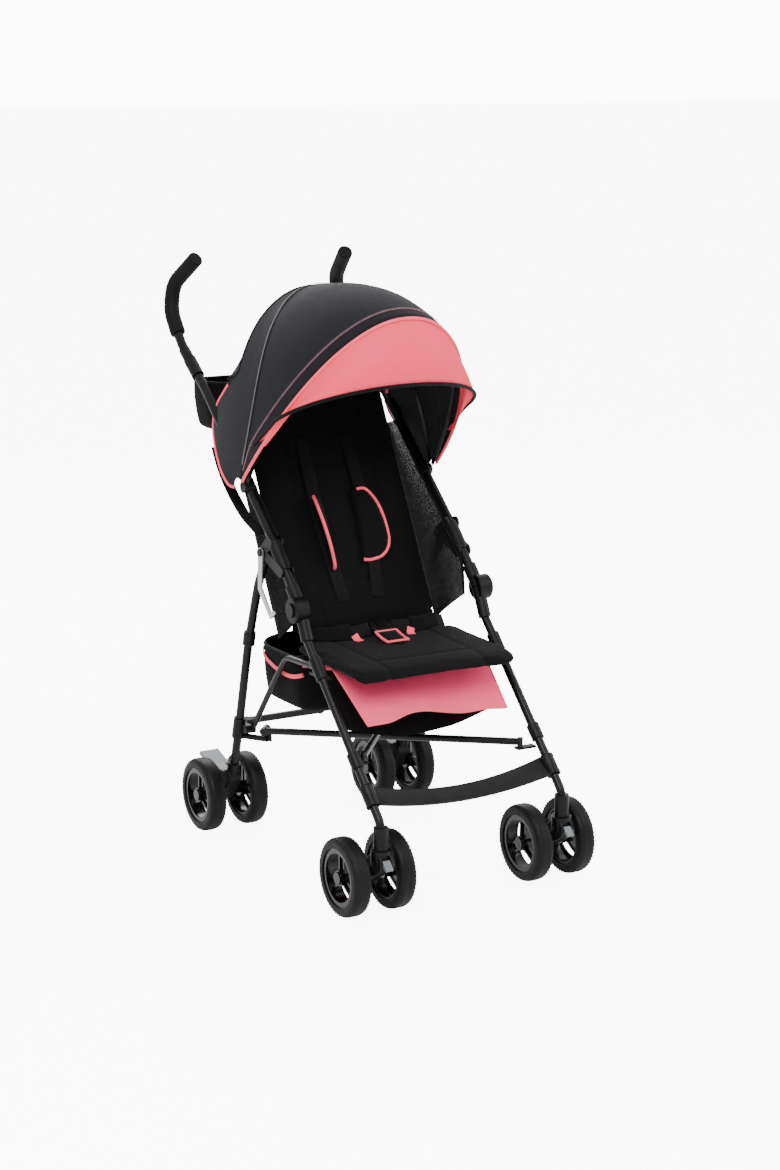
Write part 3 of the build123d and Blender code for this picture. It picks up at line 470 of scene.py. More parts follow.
def stitch_tree():
    """Stitches laid end to end along every edge line of the mesh it is given."""
    tree, given, out = geometry_tree("stitch_run", (
        ("Spacing", "NodeSocketFloat", 0.004), ("Stitch", "NodeSocketFloat", 0.0028),
        ("Thread", "NodeSocketFloat", 0.0004), ("Finish", "NodeSocketMaterial", None)))
    link = tree.links.new
    to_curve = tree.nodes.new("GeometryNodeMeshToCurve")
    link(given.outputs["Geometry"], to_curve.inputs["Mesh"])
    points = tree.nodes.new("GeometryNodeCurveToPoints")
    points.mode = "LENGTH"
    link(to_curve.outputs["Curve"], points.inputs["Curve"])
    link(given.outputs["Spacing"], points.inputs["Length"])
    bar = tree.nodes.new("GeometryNodeMeshCylinder")
    bar.inputs["Vertices"].default_value = 5
    link(given.outputs["Thread"], bar.inputs["Radius"])
    link(given.outputs["Stitch"], bar.inputs["Depth"])
    spread = tree.nodes.new("GeometryNodeInstanceOnPoints")
    link(points.outputs["Points"], spread.inputs["Points"])
    link(bar.outputs["Mesh"], spread.inputs["Instance"])
    align = tree.nodes.new("FunctionNodeAlignRotationToVector")
    align.axis = "Z"
    link(points.outputs["Tangent"], align.inputs["Vector"])
    link(align.outputs["Rotation"], spread.inputs["Rotation"])
    real = tree.nodes.new("GeometryNodeRealizeInstances")
    link(spread.outputs["Instances"], real.inputs["Geometry"])
    finish = tree.nodes.new("GeometryNodeSetMaterial")
    link(real.outputs["Geometry"], finish.inputs["Geometry"])
    link(given.outputs["Finish"], finish.inputs["Material"])
    link(finish.outputs["Geometry"], out.inputs["Geometry"])
    return tree


def knob_tree():
    """A low knob on every point of the mesh it is given."""
    tree, given, out = geometry_tree("knob_rows", (
        ("Radius", "NodeSocketFloat", 0.002), ("Finish", "NodeSocketMaterial", None)))
    link = tree.links.new
    knob = tree.nodes.new("GeometryNodeMeshIcoSphere")
    knob.inputs["Subdivisions"].default_value = 2
    link(given.outputs["Radius"], knob.inputs["Radius"])
    spread = tree.nodes.new("GeometryNodeInstanceOnPoints")
    link(given.outputs["Geometry"], spread.inputs["Points"])
    link(knob.outputs["Mesh"], spread.inputs["Instance"])
    real = tree.nodes.new("GeometryNodeRealizeInstances")
    link(spread.outputs["Instances"], real.inputs["Geometry"])
    smooth = tree.nodes.new("GeometryNodeSetShadeSmooth")
    link(real.outputs["Geometry"], smooth.inputs["Geometry"])
    finish = tree.nodes.new("GeometryNodeSetMaterial")
    link(smooth.outputs["Geometry"], finish.inputs["Geometry"])
    link(given.outputs["Finish"], finish.inputs["Material"])
    link(finish.outputs["Geometry"], out.inputs["Geometry"])
    return tree


STITCH_RUN = stitch_tree()
KNOB_ROWS = knob_tree()


def grown(piece, tree, values):
    """Runs a geometry tree on a piece and keeps the result as a plain mesh."""
    modifier = piece.modifiers.new("grown", "NODES")
    modifier.node_group = tree
    for item in tree.interface.items_tree:
        if item.name in values and item.in_out == "INPUT":
            modifier[item.identifier] = values[item.name]
    return settled(piece)


def stitched(name, lines, material, spacing=4.2, stitch=2.9, thread=0.42):
    """Rows of stitches along some lines, as one piece."""
    verts = []
    edges = []
    for line in lines:
        start = len(verts)
        verts += [tuple(point) for point in line]
        edges += [(start + i, start + i + 1) for i in range(len(line) - 1)]
    mesh = bpy.data.meshes.new(name)
    mesh.from_pydata(verts, edges, [])
    piece = bpy.data.objects.new(name, mesh)
    bpy.context.scene.collection.objects.link(piece)
    return grown(piece, STITCH_RUN, {"Spacing": spacing * MM, "Stitch": stitch * MM,
                                     "Thread": thread * MM, "Finish": material})


# ---- canopy ------------------------------------------------------------------------------------
# degrees forward, arch height
CANOPY_HEIGHTS = ((-16.0, 362.0), (-4.0, 361.0), (12.0, 377.0), (33.0, 405.0), (38.0, 411.0))
# out from the clamp, degrees forward
SIDE_PANEL_EDGE = ((17.0, -96.0), (32.0, -94.0), (60.0, -80.0), (95.0, -68.0), (129.0, -61.0),
                   (165.0, -56.0), (186.0, -51.0), (194.0, -40.0), (201.0, -26.0), (212.0, -16.0))
ARCH_MEAN = 365.0                        # arch height that places the panels' rows


def between(pairs, value):
    """Straight line interpolation in a short list of pairs."""
    if value <= pairs[0][0]:
        return pairs[0][1]
    for (a, va), (b, vb) in zip(pairs, pairs[1:]):
        if value <= b:
            return va + (vb - va) * (value - a) / (b - a)
    return pairs[-1][1]


def arch_stations(straight=4, curved=112):
    """Stations round the arch: (side, level 0..1 on the straight part, angle round the ellipse)."""
    stations = [(-1, i / straight, 0.0) for i in range(straight)]
    stations += [(0, 1.0, math.pi * i / curved) for i in range(curved + 1)]
    stations += [(1, 1 - (i + 1) / straight, math.pi) for i in range(straight)]
    return stations


def canopy_point(station, degrees, inset=0.0, dip=0.0):
    """A point of the canopy's skin, with its distance out from the clamp."""
    side, level, angle = station
    height = between(CANOPY_HEIGHTS, degrees) - inset
    half = CANOPY_HALF_W - inset
    if side:
        x = side * half
        out = ARCH_START + (CANOPY_STRAIGHT - ARCH_START) * level
    else:
        x = -half * math.cos(angle)
        out = CANOPY_STRAIGHT + (height - CANOPY_STRAIGHT) * math.sin(angle)
    out_sunk = out - dip * math.sin(angle) ** 2
    turn = math.radians(degrees)
    return place(x, PIVOT_Y - out_sunk * math.sin(turn), PIVOT_Z + out_sunk * math.cos(turn)), out


def station_out(station, height):
    side, level, angle = station
    if side:
        return ARCH_START + (CANOPY_STRAIGHT - ARCH_START) * level
    return CANOPY_STRAIGHT + (height - CANOPY_STRAIGHT) * math.sin(angle)


def rear_seam_deg(out):
    """Where the seam between the two top panels runs."""
    return -9.0 + 40.0 * (1 - out / 361.0)


def front_edge_deg(out):
    """Front edge of the charcoal canopy, where the visor is sewn on."""
    return 37.6 + 8.0 * (1 - out / 411.0)


def rear_edge_deg(station, out):
    """Rear edge: the bow over the top, the cut of the side panel below."""
    return max(between(SIDE_PANEL_EDGE, out), -96.0) if out < 212.0 else REAR_DEG


def canopy_rows(low_deg, high_deg, steps, inset, dip):
    rows = []
    for station in arch_stations():
        out = station_out(station, ARCH_MEAN)
        low = low_deg(station, out)
        high = high_deg(station, out)
        row = []
        for i in range(steps + 1):
            u = i / steps
            sag = dip * math.sin(math.pi * u)
            ripple = 1.2 * noise.noise(Vector((station[2] * 3.0, u * 2.5, low * 0.01)))
            row.append(canopy_point(station, low + (high - low) * u, inset, sag + ripple)[0])
        rows.append(row)
    return rows


def canopy_rear_cover():
    """Rear section with both side panels, its hem, its pink welt and its seam."""
    rows = canopy_rows(rear_edge_deg, lambda station, out: rear_seam_deg(out), 18, 0.0, 5.0)
    cover = sheet_from_rows("canopy_rear_cover", rows, CANOPY_CLOTH, flip=True)
    area = cut_area(cover)
    cover = thickened(cover, FABRIC_T, 0)
    edge = [row[0] for row in rows]
    cut = len([1 for s in arch_stations() if s[0] < 0 or (s[0] == 0 and s[2] < 0.52)])
    welts = []
    welts.append(tube_along("rear_hem", edge[cut:-cut], 2.4, BINDING))
    for side, points in (("right", edge[:cut + 1]), ("left", edge[-cut - 1:])):
        welts.append(tube_along(f"{side}_welt", points, 3.0, PINK_TRIM))
    trim = joined("canopy_rear_trim", welts)
    lines = []
    for back in (1.6, 2.7):
        line = []
        for station in arch_stations()[6:-6]:
            out = station_out(station, ARCH_MEAN)
            shift = math.degrees(back * 2.2 / max(out, 60.0))
            line.append(canopy_point(station, rear_seam_deg(out) - shift, -1.0)[0])
        lines.append(line)
    grey = stitched("canopy_rear_stitches", lines, THREAD_GREY)
    return cover, area, trim, grey, rows


def canopy_front_cover():
    """Front section that nests under the rear one, with its stitched seam near the front edge."""
    rows = canopy_rows(lambda station, out: rear_seam_deg(out) - 1.5,
                       lambda station, out: front_edge_deg(out), 22, 1.2, 4.0)
    cover = sheet_from_rows("canopy_front_cover", rows, CANOPY_CLOTH, flip=True)
    area = cut_area(cover)
    cover = thickened(cover, FABRIC_T, 0)
    edge = [row[-1] for row in rows]
    trim = tube_along("canopy_front_trim", edge, 3.0, PINK_TRIM)
    stations = arch_stations()[5:-5]
    lines = []
    for back in (26.0, 28.6):
        line = []
        for station in stations:
            out = station_out(station, ARCH_MEAN)
            shift = math.degrees(back / max(out, 90.0))
            line.append(canopy_point(station, front_edge_deg(out) - shift, 0.3)[0])
        lines.append(line)
    pink = stitched("canopy_front_stitches", lines[:1], THREAD_PINK)
    grey = stitched("canopy_front_topstitch", lines[1:], THREAD_GREY)
    return cover, area, trim, joined("canopy_front_stitches", [pink, grey])


VISOR_TIP = (203.0, 107.0, 762.0)        # where its bound edge meets the front bow, at each side
VISOR_CORNER = (200.0, 28.0, 818.0)
VISOR_REACH = 138.0                      # from its corners forward to its middle
VISOR_RISE = 68.0


def visor_edge(share):
    """A point of the visor's bound front edge, from the right tip (0) to the left (1)."""
    side = -1.0 if share < 0.5 else 1.0
    fold = min(share, 1 - share)
    if fold < 0.14:
        u = fold / 0.14
        x, y, z = (a + (b - a) * u for a, b in zip(VISOR_TIP, VISOR_CORNER))
    else:
        turn = (fold - 0.14) / 0.36 * math.pi / 2
        x = VISOR_CORNER[0] * math.cos(turn)
        y = VISOR_CORNER[1] - VISOR_REACH * math.sin(turn)
        z = VISOR_CORNER[2] + VISOR_RISE * math.sin(turn)
    return place(side * x, y, z)


def visor():
    """Pink visor from the front bow to its bound front edge."""
    stations = arch_stations()
    start = 14
    stations = stations[start:len(stations) - start]
    rows = []
    count = len(stations)
    for k, station in enumerate(stations):
        out = station_out(station, 400.0)
        top = canopy_point(station, front_edge_deg(out) - 0.8, 3.4)[0]
        ahead = canopy_point(station, front_edge_deg(out) + 3.0, 3.4)[0]
        low = visor_edge(k / (count - 1))
        span = (low - top).length
        middle = top + (ahead - top).normalized() * span * 0.5
        row = []
        for i in range(15):
            u = i / 14
            point = top * (1 - u) ** 2 + middle * 2 * u * (1 - u) + low * u ** 2
            point += Vector((0, 0, 1)) * 0.0018 * noise.noise(point * 22.0) * math.sin(math.pi * u)
            row.append(point)
        rows.append(row)
    cover = sheet_from_rows("canopy_visor_cover", rows, PINK_CLOTH, flip=True)
    area = cut_area(cover)
    cover = thickened(cover, FABRIC_T, 0)
    edge = [row[-1] for row in rows]
    binding = tube_along("visor_binding", edge, 3.4, BINDING)
    return cover, area, binding


def rear_wall(rows):
    """Cloth wall that closes the canopy's back, down to behind the seat back's top."""
    edge = [row[0] for row in rows]
    low, high = 24, len(edge) - 24
    arch_line = edge[low:high]
    foot_y, foot_z = BACKREST_TOP[0] + 12.0, BACKREST_TOP[1] + 4.0
    wall = []
    for point in arch_line:
        column = []
        foot = place(point.x / MM * 0.93, foot_y, foot_z)
        for i in range(15):
            u = i / 14
            at = point.lerp(foot, u)
            at.y += 0.006 * math.sin(math.pi * u) * (1 + 0.6 * noise.noise(at * 14.0))
            column.append(at)
        wall.append(column)
    cover = sheet_from_rows("canopy_rear_wall", wall, CANOPY_CLOTH)
    area = cut_area(cover)
    return thickened(cover, FABRIC_T, 0), area


rear_cover, rear_area, rear_trim, rear_stitches, rear_rows = canopy_rear_cover()
on_frame(rear_cover, "right_frame", "charcoal_fabric", "canopy_rear")
on_frame(rear_trim, "right_frame", "pink_fabric")
on_frame(rear_stitches, "right_frame", "charcoal_fabric")
wall, wall_area = rear_wall(rear_rows)
on_frame(wall, "right_frame", "charcoal_fabric")

front_cover, front_area, front_trim, front_stitches = canopy_front_cover()
on_frame(front_cover, "canopy_front", "charcoal_fabric", "canopy_front")
on_frame(front_trim, "canopy_front", "pink_fabric")
on_frame(front_stitches, "canopy_front", "pink_fabric")

visor_cover, visor_area, visor_binding = visor()
on_frame(visor_cover, "canopy_visor", "pink_fabric", "canopy_visor")
on_frame(visor_binding, "canopy_visor", "black_fabric")


# ---- pads --------------------------------------------------------------------------------------
def rounded_slab(name, half_w, length, thick, corner, move, material):
    """A closed slab with a rounded outline: move(x, along, out) gives the place of each point."""
    outline = []
    for cx, cy, start in ((half_w - corner, length - corner, 0), (-half_w + corner, length - corner, 90),
                          (-half_w + corner, corner, 180), (half_w - corner, corner, 270)):
        for step in range(0, 91, 15):
            turn = math.radians(start + step)
            outline.append((cx + corner * math.cos(turn), cy + corner * math.sin(turn)))
    work = bmesh.new()
    rings = []
    for out in (-thick / 2, thick / 2):
        rings.append([work.verts.new(move(x, y, out)) for x, y in outline])
    work.faces.new(list(reversed(rings[0])))
    work.faces.new(rings[1])
    count = len(outline)
    for i in range(count):
        j = (i + 1) % count
        work.faces.new((rings[0][i], rings[0][j], rings[1][j], rings[1][i]))
    mesh = bpy.data.meshes.new(name)
    work.to_mesh(mesh)
    work.free()
    piece = bpy.data.objects.new(name, mesh)
    bpy.context.scene.collection.objects.link(piece)
    mesh.materials.append(material)
    return face_out(piece)


def puffed(piece, voxel, cap, pressure=4.0):
    """Fills a closed piece like a cushion: cloth under pressure, with each point's way capped."""
    remesh = piece.modifiers.new("even", "REMESH")
    remesh.mode = "VOXEL"
    remesh.voxel_size = voxel * MM
    material = piece.data.materials[0]
    settled(piece)
    rest = np.array([v.co for v in piece.data.vertices])
    cloth_mod = piece.modifiers.new("fill", "CLOTH")
    made = cloth_mod.settings
    made.use_pressure = True
    made.uniform_pressure_force = pressure
    made.effector_weights.gravity = 0.0
    made.tension_stiffness = 12.0
    made.bending_stiffness = 0.6
    scene = bpy.context.scene
    for step in range(1, 21):
        scene.frame_set(step)
    graph = bpy.context.evaluated_depsgraph_get()
    moved = np.array([v.co for v in piece.evaluated_get(graph).data.vertices])
    piece.modifiers.remove(cloth_mod)
    scene.frame_set(1)
    way = moved - rest
    size = np.linalg.norm(way, axis=1, keepdims=True)
    way *= np.minimum(1.0, cap * MM / np.maximum(size, 1e-9))
    rest = rest + way
    for vertex, spot in zip(piece.data.vertices, rest):
        vertex.co = spot
    piece.data.materials.clear()
    piece.data.materials.append(material)
    return piece


def sewn(piece, channels, depth, width):
    """Presses sewn channels into a pad: channels(point) gives the distance to the nearest seam."""
    piece.data.update()
    normals = [v.normal.copy() for v in piece.data.vertices]
    for vertex, normal in zip(piece.data.vertices, normals):
        gap = channels(vertex.co) / (width * MM)
        if gap < 3.0:
            vertex.co -= normal * depth * MM * math.exp(-gap * gap)
    smooth = piece.modifiers.new("smooth", "SUBSURF")
    smooth.levels = smooth.render_levels = 1
    settled(piece)
    for face in piece.data.polygons:
        face.use_smooth = True
    return piece


BACK_DEEP, BACK_TALL = BACKREST_TOP[0] - BACKREST_FOOT[0], BACKREST_TOP[1] - BACKREST_FOOT[1]
BACK_LENGTH = math.hypot(BACK_DEEP, BACK_TALL)
BACK_RUN = (BACK_DEEP / BACK_LENGTH, BACK_TALL / BACK_LENGTH)


def on_back(x, up, forward):
    """A point up the seat back and out from its front face."""
    return place(x, BACKREST_FOOT[0] + BACK_RUN[0] * up - BACK_RUN[1] * forward,
                 BACKREST_FOOT[1] + BACK_RUN[1] * up + BACK_RUN[0] * forward)


def back_up(point):
    """How far up the seat back a point lies, in metres."""
    foot = on_back(0, 0, 0)
    return (point - foot).dot(Vector((0, BACK_RUN[0], BACK_RUN[1])))


def seat_pad():
    front, rear = -217.0, 34.0

    def lay(x, along, out):
        droop = max(0.0, 1 - along / 70.0) ** 2 * 9.0
        return place(x, front + along, SEAT_TOP_Z - 7.0 + out - droop)

    pad = rounded_slab("seat_pad", 171.0, rear - front, 9.0, 30.0, lay, SEAT_CLOTH)
    work = bmesh.new()
    work.from_mesh(pad.data)
    bmesh.ops.subdivide_edges(work, edges=work.edges, cuts=2, use_grid_fill=True)
    work.to_mesh(pad.data)
    work.free()
    puffed(pad, 5.0, 6.0)
    for vertex in pad.data.vertices:
        along = (vertex.co.y - SHIFT) / MM - front
        vertex.co.z -= max(0.0, 1 - along / 60.0) ** 2 * 0.007
    seam_x = 0.098
    seam_y = place(0, -150, 0).y

    def channels(point):
        across = abs(point.y - seam_y) + (0 if abs(point.x) < seam_x else 1)
        return min(abs(abs(point.x) - seam_x), across)

    return sewn(pad, channels, 2.2, 5.0)


def back_pad():
    pad = rounded_slab("backrest_pad", 159.0, BACK_LENGTH - 4.0, 8.0, 30.0,
                       lambda x, along, out: on_back(x, along + 4.0, out - 7.0), SEAT_CLOTH)
    puffed(pad, 6.0, 6.0)

    def channels(point):
        up = back_up(point)
        lines = [abs(abs(point.x) - 0.086)]
        lines += [abs(up - level) + (0 if abs(point.x) < 0.086 else 1) for level in (0.1, 0.33)]
        return min(lines)

    return sewn(pad, channels, 2.4, 5.5)


seat_cover = on_frame(seat_pad(), "right_frame", "black_fabric", "seat")
back_cover = on_frame(back_pad(), "backrest", "black_fabric", "backrest")


# ---- harness -----------------------------------------------------------------------------------
def shoulder_line(side, low, high, lift):
    """Line of a shoulder strap up the seat back, bowed outwards."""
    points = []
    for i in range(9):
        u = i / 8
        x = side * (46.0 - 10.0 * (1 - u) ** 2 + 6.0 * math.sin(math.pi * u))
        points.append(on_back(x, low + (high - low) * u, lift + 5.0 * math.sin(math.pi * u)))
    return smooth_line(points, 40)


# a pad's outline, from the inner corner of its top round its outer side to the inner corner of its foot:
# (outwards, up the seat back, forward)
LEFT_PAD_EDGE = ((40.0, 270.0, 12.0), (58.0, 268.0, 13.0), (75.0, 240.0, 14.0), (82.0, 200.0, 15.0),
                 (80.0, 160.0, 14.0), (62.0, 138.0, 12.0), (36.0, 132.0, 10.0), (22.0, 134.0, 9.0))
RIGHT_PAD_EDGE = ((58.0, 262.0, 20.0), (62.0, 240.0, 34.0), (60.0, 200.0, 40.0), (55.0, 160.0, 36.0),
                  (48.0, 128.0, 22.0), (46.0, 122.0, 12.0))


def shoulder_pad(word, side, edge, inner):
    """A padded flap: one side bound in pink along its edge, the other on the strap."""
    outer = smooth_line([on_back(side * x, up, forward) for x, up, forward in edge], 44)
    rows = []
    for i, point in enumerate(outer):
        u = i / (len(outer) - 1)
        root = on_back(side * (inner[0] + (inner[1] - inner[0]) * u),
                       edge[0][1] + (edge[-1][1] - edge[0][1]) * u, 7.0)
        rows.append([root.lerp(point, j / 8) for j in range(9)])
    pad = sheet_from_rows(f"{word}_shoulder_pad", rows, SEAT_CLOTH)
    pad = thickened(pad, 5.0, 0)
    puffed(pad, 3.0, 2.5)
    for face in pad.data.polygons:
        face.use_smooth = True
    return pad, tube_along(f"{word}_pad_edge", outer, 3.3, PINK_TRIM)


def shoulder_harness():
    straps = []
    pads = []
    edges = []
    for word, side, edge, inner in (("right", -1, RIGHT_PAD_EDGE, (40.0, 38.0)),
                                    ("left", 1, LEFT_PAD_EDGE, (28.0, 20.0))):
        line = shoulder_line(side, 60.0, 384.0, 3.0)
        straps.append(strap_along(f"{word}_shoulder_web", line, (1, 0, 0), 25.0, 1.8, WEBBING))
        pad, edging = shoulder_pad(word, side, edge, inner)
        pads.append(pad)
        edges.append(edging)
    return (joined("shoulder_webs", straps), joined("shoulder_pads", pads),
            joined("shoulder_pad_edging", edges))


webs, shoulder_pads, pad_edging = shoulder_harness()
on_frame(webs, "backrest", "webbing", "shoulder_straps")
on_frame(shoulder_pads, "backrest", "black_fabric")
on_frame(pad_edging, "backrest", "pink_fabric")


# the harness lies on the seat: outwards, back and up from the ground
BELT_ROUTE = ((150, 26, 417), (112, 12, 421), (66, -2, 424), (24, 0, 426))
BELT_END_ROUTE = ((60, -8, 421), (56, -13, 413), (54, -22, 412))
CROTCH_ROUTE = ((-70, 412.5), (-46, 415), (-22, 421), (-4, 426))
CROTCH_PAD_HALF_W = 21.5


def waist_harness():
    """Waist belts with their pads and pink ends, and the crotch strap with its pad."""
    straps = []
    pads = []
    pink = []
    for word, side in (("right", -1), ("left", 1)):
        line = smooth_line([place(side * x, y, z) for x, y, z in BELT_ROUTE], 26)
        straps.append(strap_along(f"{word}_waist_web", line, (0, 0.5, 0.87), 24.0, 1.8, WEBBING))
        pad_line = line[3:19]
        pad = strap_along(f"{word}_waist_pad", pad_line, (0, 0.5, 0.87), 34.0, 6.0, SEAT_CLOTH)
        puffed(pad, 3.0, 2.5)
        pads.append(pad)
        tab = smooth_line([place(side * x, y, z) for x, y, z in BELT_END_ROUTE], 8)
        pink.append(strap_along(f"{word}_belt_end", tab, (1, 0, 0), 15.0, 2.0, PINK_TRIM))
    crotch = smooth_line([place(0, y, z) for y, z in CROTCH_ROUTE], 18)
    straps.append(strap_along("crotch_web", crotch, (1, 0, 0), 25.0, 1.8, WEBBING))
    pad = strap_along("crotch_pad", crotch[2:14], (1, 0, 0), 42.0, 6.0, SEAT_CLOTH)
    puffed(pad, 3.0, 2.5)
    pads.append(pad)
    rim = [p + Vector((CROTCH_PAD_HALF_W * MM, 0, 0.0015)) for p in crotch[2:14]]
    rim += [p + Vector((-CROTCH_PAD_HALF_W * MM, 0, 0.0015)) for p in reversed(crotch[2:14])]
    pink.append(tube_along("crotch_pad_edge", rim, 2.8, PINK_TRIM, closed=True))
    for part in pads:
        for face in part.data.polygons:
            face.use_smooth = True
    return joined("waist_webs", straps), joined("waist_pads", pads), joined("waist_edging", pink)


waist_webs, waist_pads, waist_edging = waist_harness()
on_frame(waist_webs, "right_frame", "webbing", "lap_belt")
on_frame(waist_pads, "right_frame", "black_fabric")
on_frame(waist_edging, "right_frame", "pink_fabric")


# ---- calf panel, lining and side nets ------------------------------------------------------------
def hung_panel(name, half_w, top, foot, wave, material, drop_at, columns=44, skew=0.0):
    """A panel that hangs from the seat's front edge, with soft upright folds and a wavy foot."""
    rows = []
    for i in range(17):
        v = i / 16
        row = []
        for j in range(columns + 1):
            s = j / columns * 2 - 1
            reach = drop_at(s)
            y = top[0] + (foot[0] - top[0]) * v * reach
            z = top[1] + (foot[1] - top[1]) * v * reach
            y += skew * v * s
            y += wave * v * math.sin(s * 5.2 + 0.6) + 0.5 * wave * v * math.sin(s * 11.0)
            x = s * half_w * (1 - 0.05 * v * abs(s))
            row.append(place(x, y, z))
        rows.append(row)
    return sheet_from_rows(name, rows, material, flip=True), rows


def calf_drop(s):
    return 1.0 - 0.10 * math.sin((s + 1) * 2.6) + 0.03 * math.sin(s * 7.0)


calf, calf_rows = hung_panel("calf_cover", 156.0, (-98.0, 391.0), (-202.0, 310.0), 4.0, CALF_PINK,
                             drop_at=calf_drop, skew=19.0)
calf = thickened(calf, 1.6, 1)
calf_edge = [row[0] for row in calf_rows] + calf_rows[-1][1:]
calf_edge += [row[-1] for row in reversed(calf_rows[:-1])]
calf_hem = tube_along("calf_hem", calf_edge, 1.8, PINK_TRIM)
on_frame(calf, "right_frame", "pink_fabric", "calf_panel")
on_frame(calf_hem, "right_frame", "pink_fabric")


def lining_drop(s):
    return 0.82 + 0.22 * math.cos(s * 1.5)


lining, _ = hung_panel("calf_lining", 158.0, (-84.0, 384.0), (-146.0, 266.0), 2.5, LINING_CLOTH,
                       drop_at=lining_drop)
lining = thickened(lining, 1.4, 1)
on_frame(lining, "right_frame", "black_fabric")


def side_net(word, side):
    """Net wall between the seat back and the push tube."""
    tube = smooth_line([place(side * 174, -8, 470), place(side * 175, 4, 534), place(side * 175, 62, 594),
                        place(side * 175, 152, 676), place(side * 175, 246, 764)], 30)
    back = [on_back(side * 167.0, 14.0 + i * 13.6, -34.0) for i in range(30)]
    rows = []
    for i, (a, b) in enumerate(zip(tube, back)):
        row = []
        for j in range(11):
            u = j / 10
            point = a.lerp(b, u)
            point.x -= side * 0.004 * math.sin(math.pi * u)
            row.append(point)
        rows.append(row)
    net = sheet_from_rows(f"{word}_side_net", rows, SIDE_NET)
    layer = net.data.uv_layers.new(name="cut")
    for loop in net.data.loops:
        spot = net.data.vertices[loop.vertex_index].co
        layer.data[loop.index].uv = (spot.y, spot.z)
    area = cut_area(net)
    net = thickened(net, 0.5, 0)
    hem = tube_along(f"{word}_net_hem", [row[0] for row in rows], 2.4, BINDING)
    return net, hem, area


for word, side in (("right", -1), ("left", 1)):
    net, net_hem, net_area = side_net(word, side)
    on_frame(net, "right_frame", "black_fabric")
    on_frame(net_hem, "right_frame", "black_fabric")


# ---- basket and pouch --------------------------------------------------------------------------
def lofted_bag(name, rings, material, thick):
    """An open-topped shell through closed rings, the last of which closes over its floor."""
    count = len(rings[0])
    verts = [p for ring in rings for p in ring]
    faces = []
    for i in range(len(rings) - 1):
        for j in range(count):
            k = (j + 1) % count
            faces.append((i * count + j, i * count + k, (i + 1) * count + k, (i + 1) * count + j))
    faces.append(tuple((len(rings) - 1) * count + j for j in range(count)))
    bag = face_out(new_piece(name, verts, faces, material))
    area = cut_area(bag)
    return thickened(bag, thick, 1), area


BASKET_HALF_W, BASKET_HALF_D, BASKET_MIDDLE_Y = 154.0, 86.0, 107.0
BASKET_HEM_Z, BASKET_WALL_H = 382.0, 100.0
WALL_SHARE = 0.72                        # of the rings; the rest close the floor
CORNER_X, CORNER_Y = 0.28, 0.34          # powers that square off the basket's outline
TRIM_PROUD = 2.2                         # edging above the skin


def basket_point(c, s, v, proud=0.0):
    """A point of the basket's skin: c and s go round its outline, v from its hem to its floor."""
    drop = min(v / WALL_SHARE, 1.0)
    shrink = 1.0 if v <= WALL_SHARE else 1.0 - (v - WALL_SHARE) / (1 - WALL_SHARE)
    sag = 11.0 * math.sin(math.pi / 2 * (1 - shrink))
    x = math.copysign(BASKET_HALF_W * abs(c) ** CORNER_X + proud, c)
    y = math.copysign(BASKET_HALF_D * abs(s) ** CORNER_Y + proud, s)
    size = max(shrink, 0.04) * (1.0 - 0.05 * drop + 0.025 * math.sin(math.pi * drop))
    dip = 5.0 * (1 - drop) * (c * c - s * s)
    fold = 2.0 * drop * noise.noise(Vector((c * 3.2, s * 3.2, drop * 2.0)))
    z = BASKET_HEM_Z - BASKET_WALL_H * drop - sag - dip - 5.0 * drop
    return place((x + fold * c) * size, BASKET_MIDDLE_Y + (y + fold * s) * size, z)


def basket():
    """Soft basket under the seat, its pink edging laid on its skin, and its hem."""
    rings = []
    for i in range(16):
        ring = []
        for j in range(72):
            turn = 2 * math.pi * j / 72
            ring.append(basket_point(math.cos(turn), math.sin(turn), i / 15))
        rings.append(ring)
    bag, area = lofted_bag("basket_bag", rings, LINING_CLOTH, 1.8)
    trims = []
    for word, side in (("right", -1), ("left", 1)):
        points = []
        for i in range(33):
            u = i / 32
            far = 0.93 - 1.8 * u                              # 1 at the rear corner, -1 at the front one
            s = math.copysign(abs(far) ** (1 / CORNER_Y), far)
            drop = 0.1 + 0.34 * math.sin(math.pi * 0.62 * u) - 0.1 * u
            points.append(basket_point(side * math.sqrt(1 - s * s), s, drop * WALL_SHARE, TRIM_PROUD))
        trims.append(strap_along(f"{word}_basket_trim", points, (0, 0, 1), 8.0, 1.6, PINK_TRIM))
    front = []
    for i in range(41):
        u = i / 40
        far = -0.93 + 1.86 * u
        c = math.copysign(abs(far) ** (1 / CORNER_X), far)
        drop = 0.14 + 0.24 * math.sin(math.pi * u)
        front.append(basket_point(c, -math.sqrt(1 - c * c), drop * WALL_SHARE, TRIM_PROUD))
    trims.append(strap_along("front_basket_trim", front, (0, 0, 1), 8.0, 1.6, PINK_TRIM))
    hem = tube_along("basket_hem", rings[0], 3.0, BINDING, closed=True)
    return bag, area, joined("basket_trim", trims), hem


bag, bag_area, bag_trim, bag_hem = basket()
on_frame(bag, "right_frame", "black_fabric", "basket")
on_frame(bag_trim, "right_frame", "pink_fabric")
on_frame(bag_hem, "right_frame", "black_fabric")


POUCH_HALF_W, POUCH_FRONT_Y, POUCH_REAR_Y = 180.0, 320.0, 420.0
POUCH_HEM_Z, POUCH_H = 847.0, 88.0


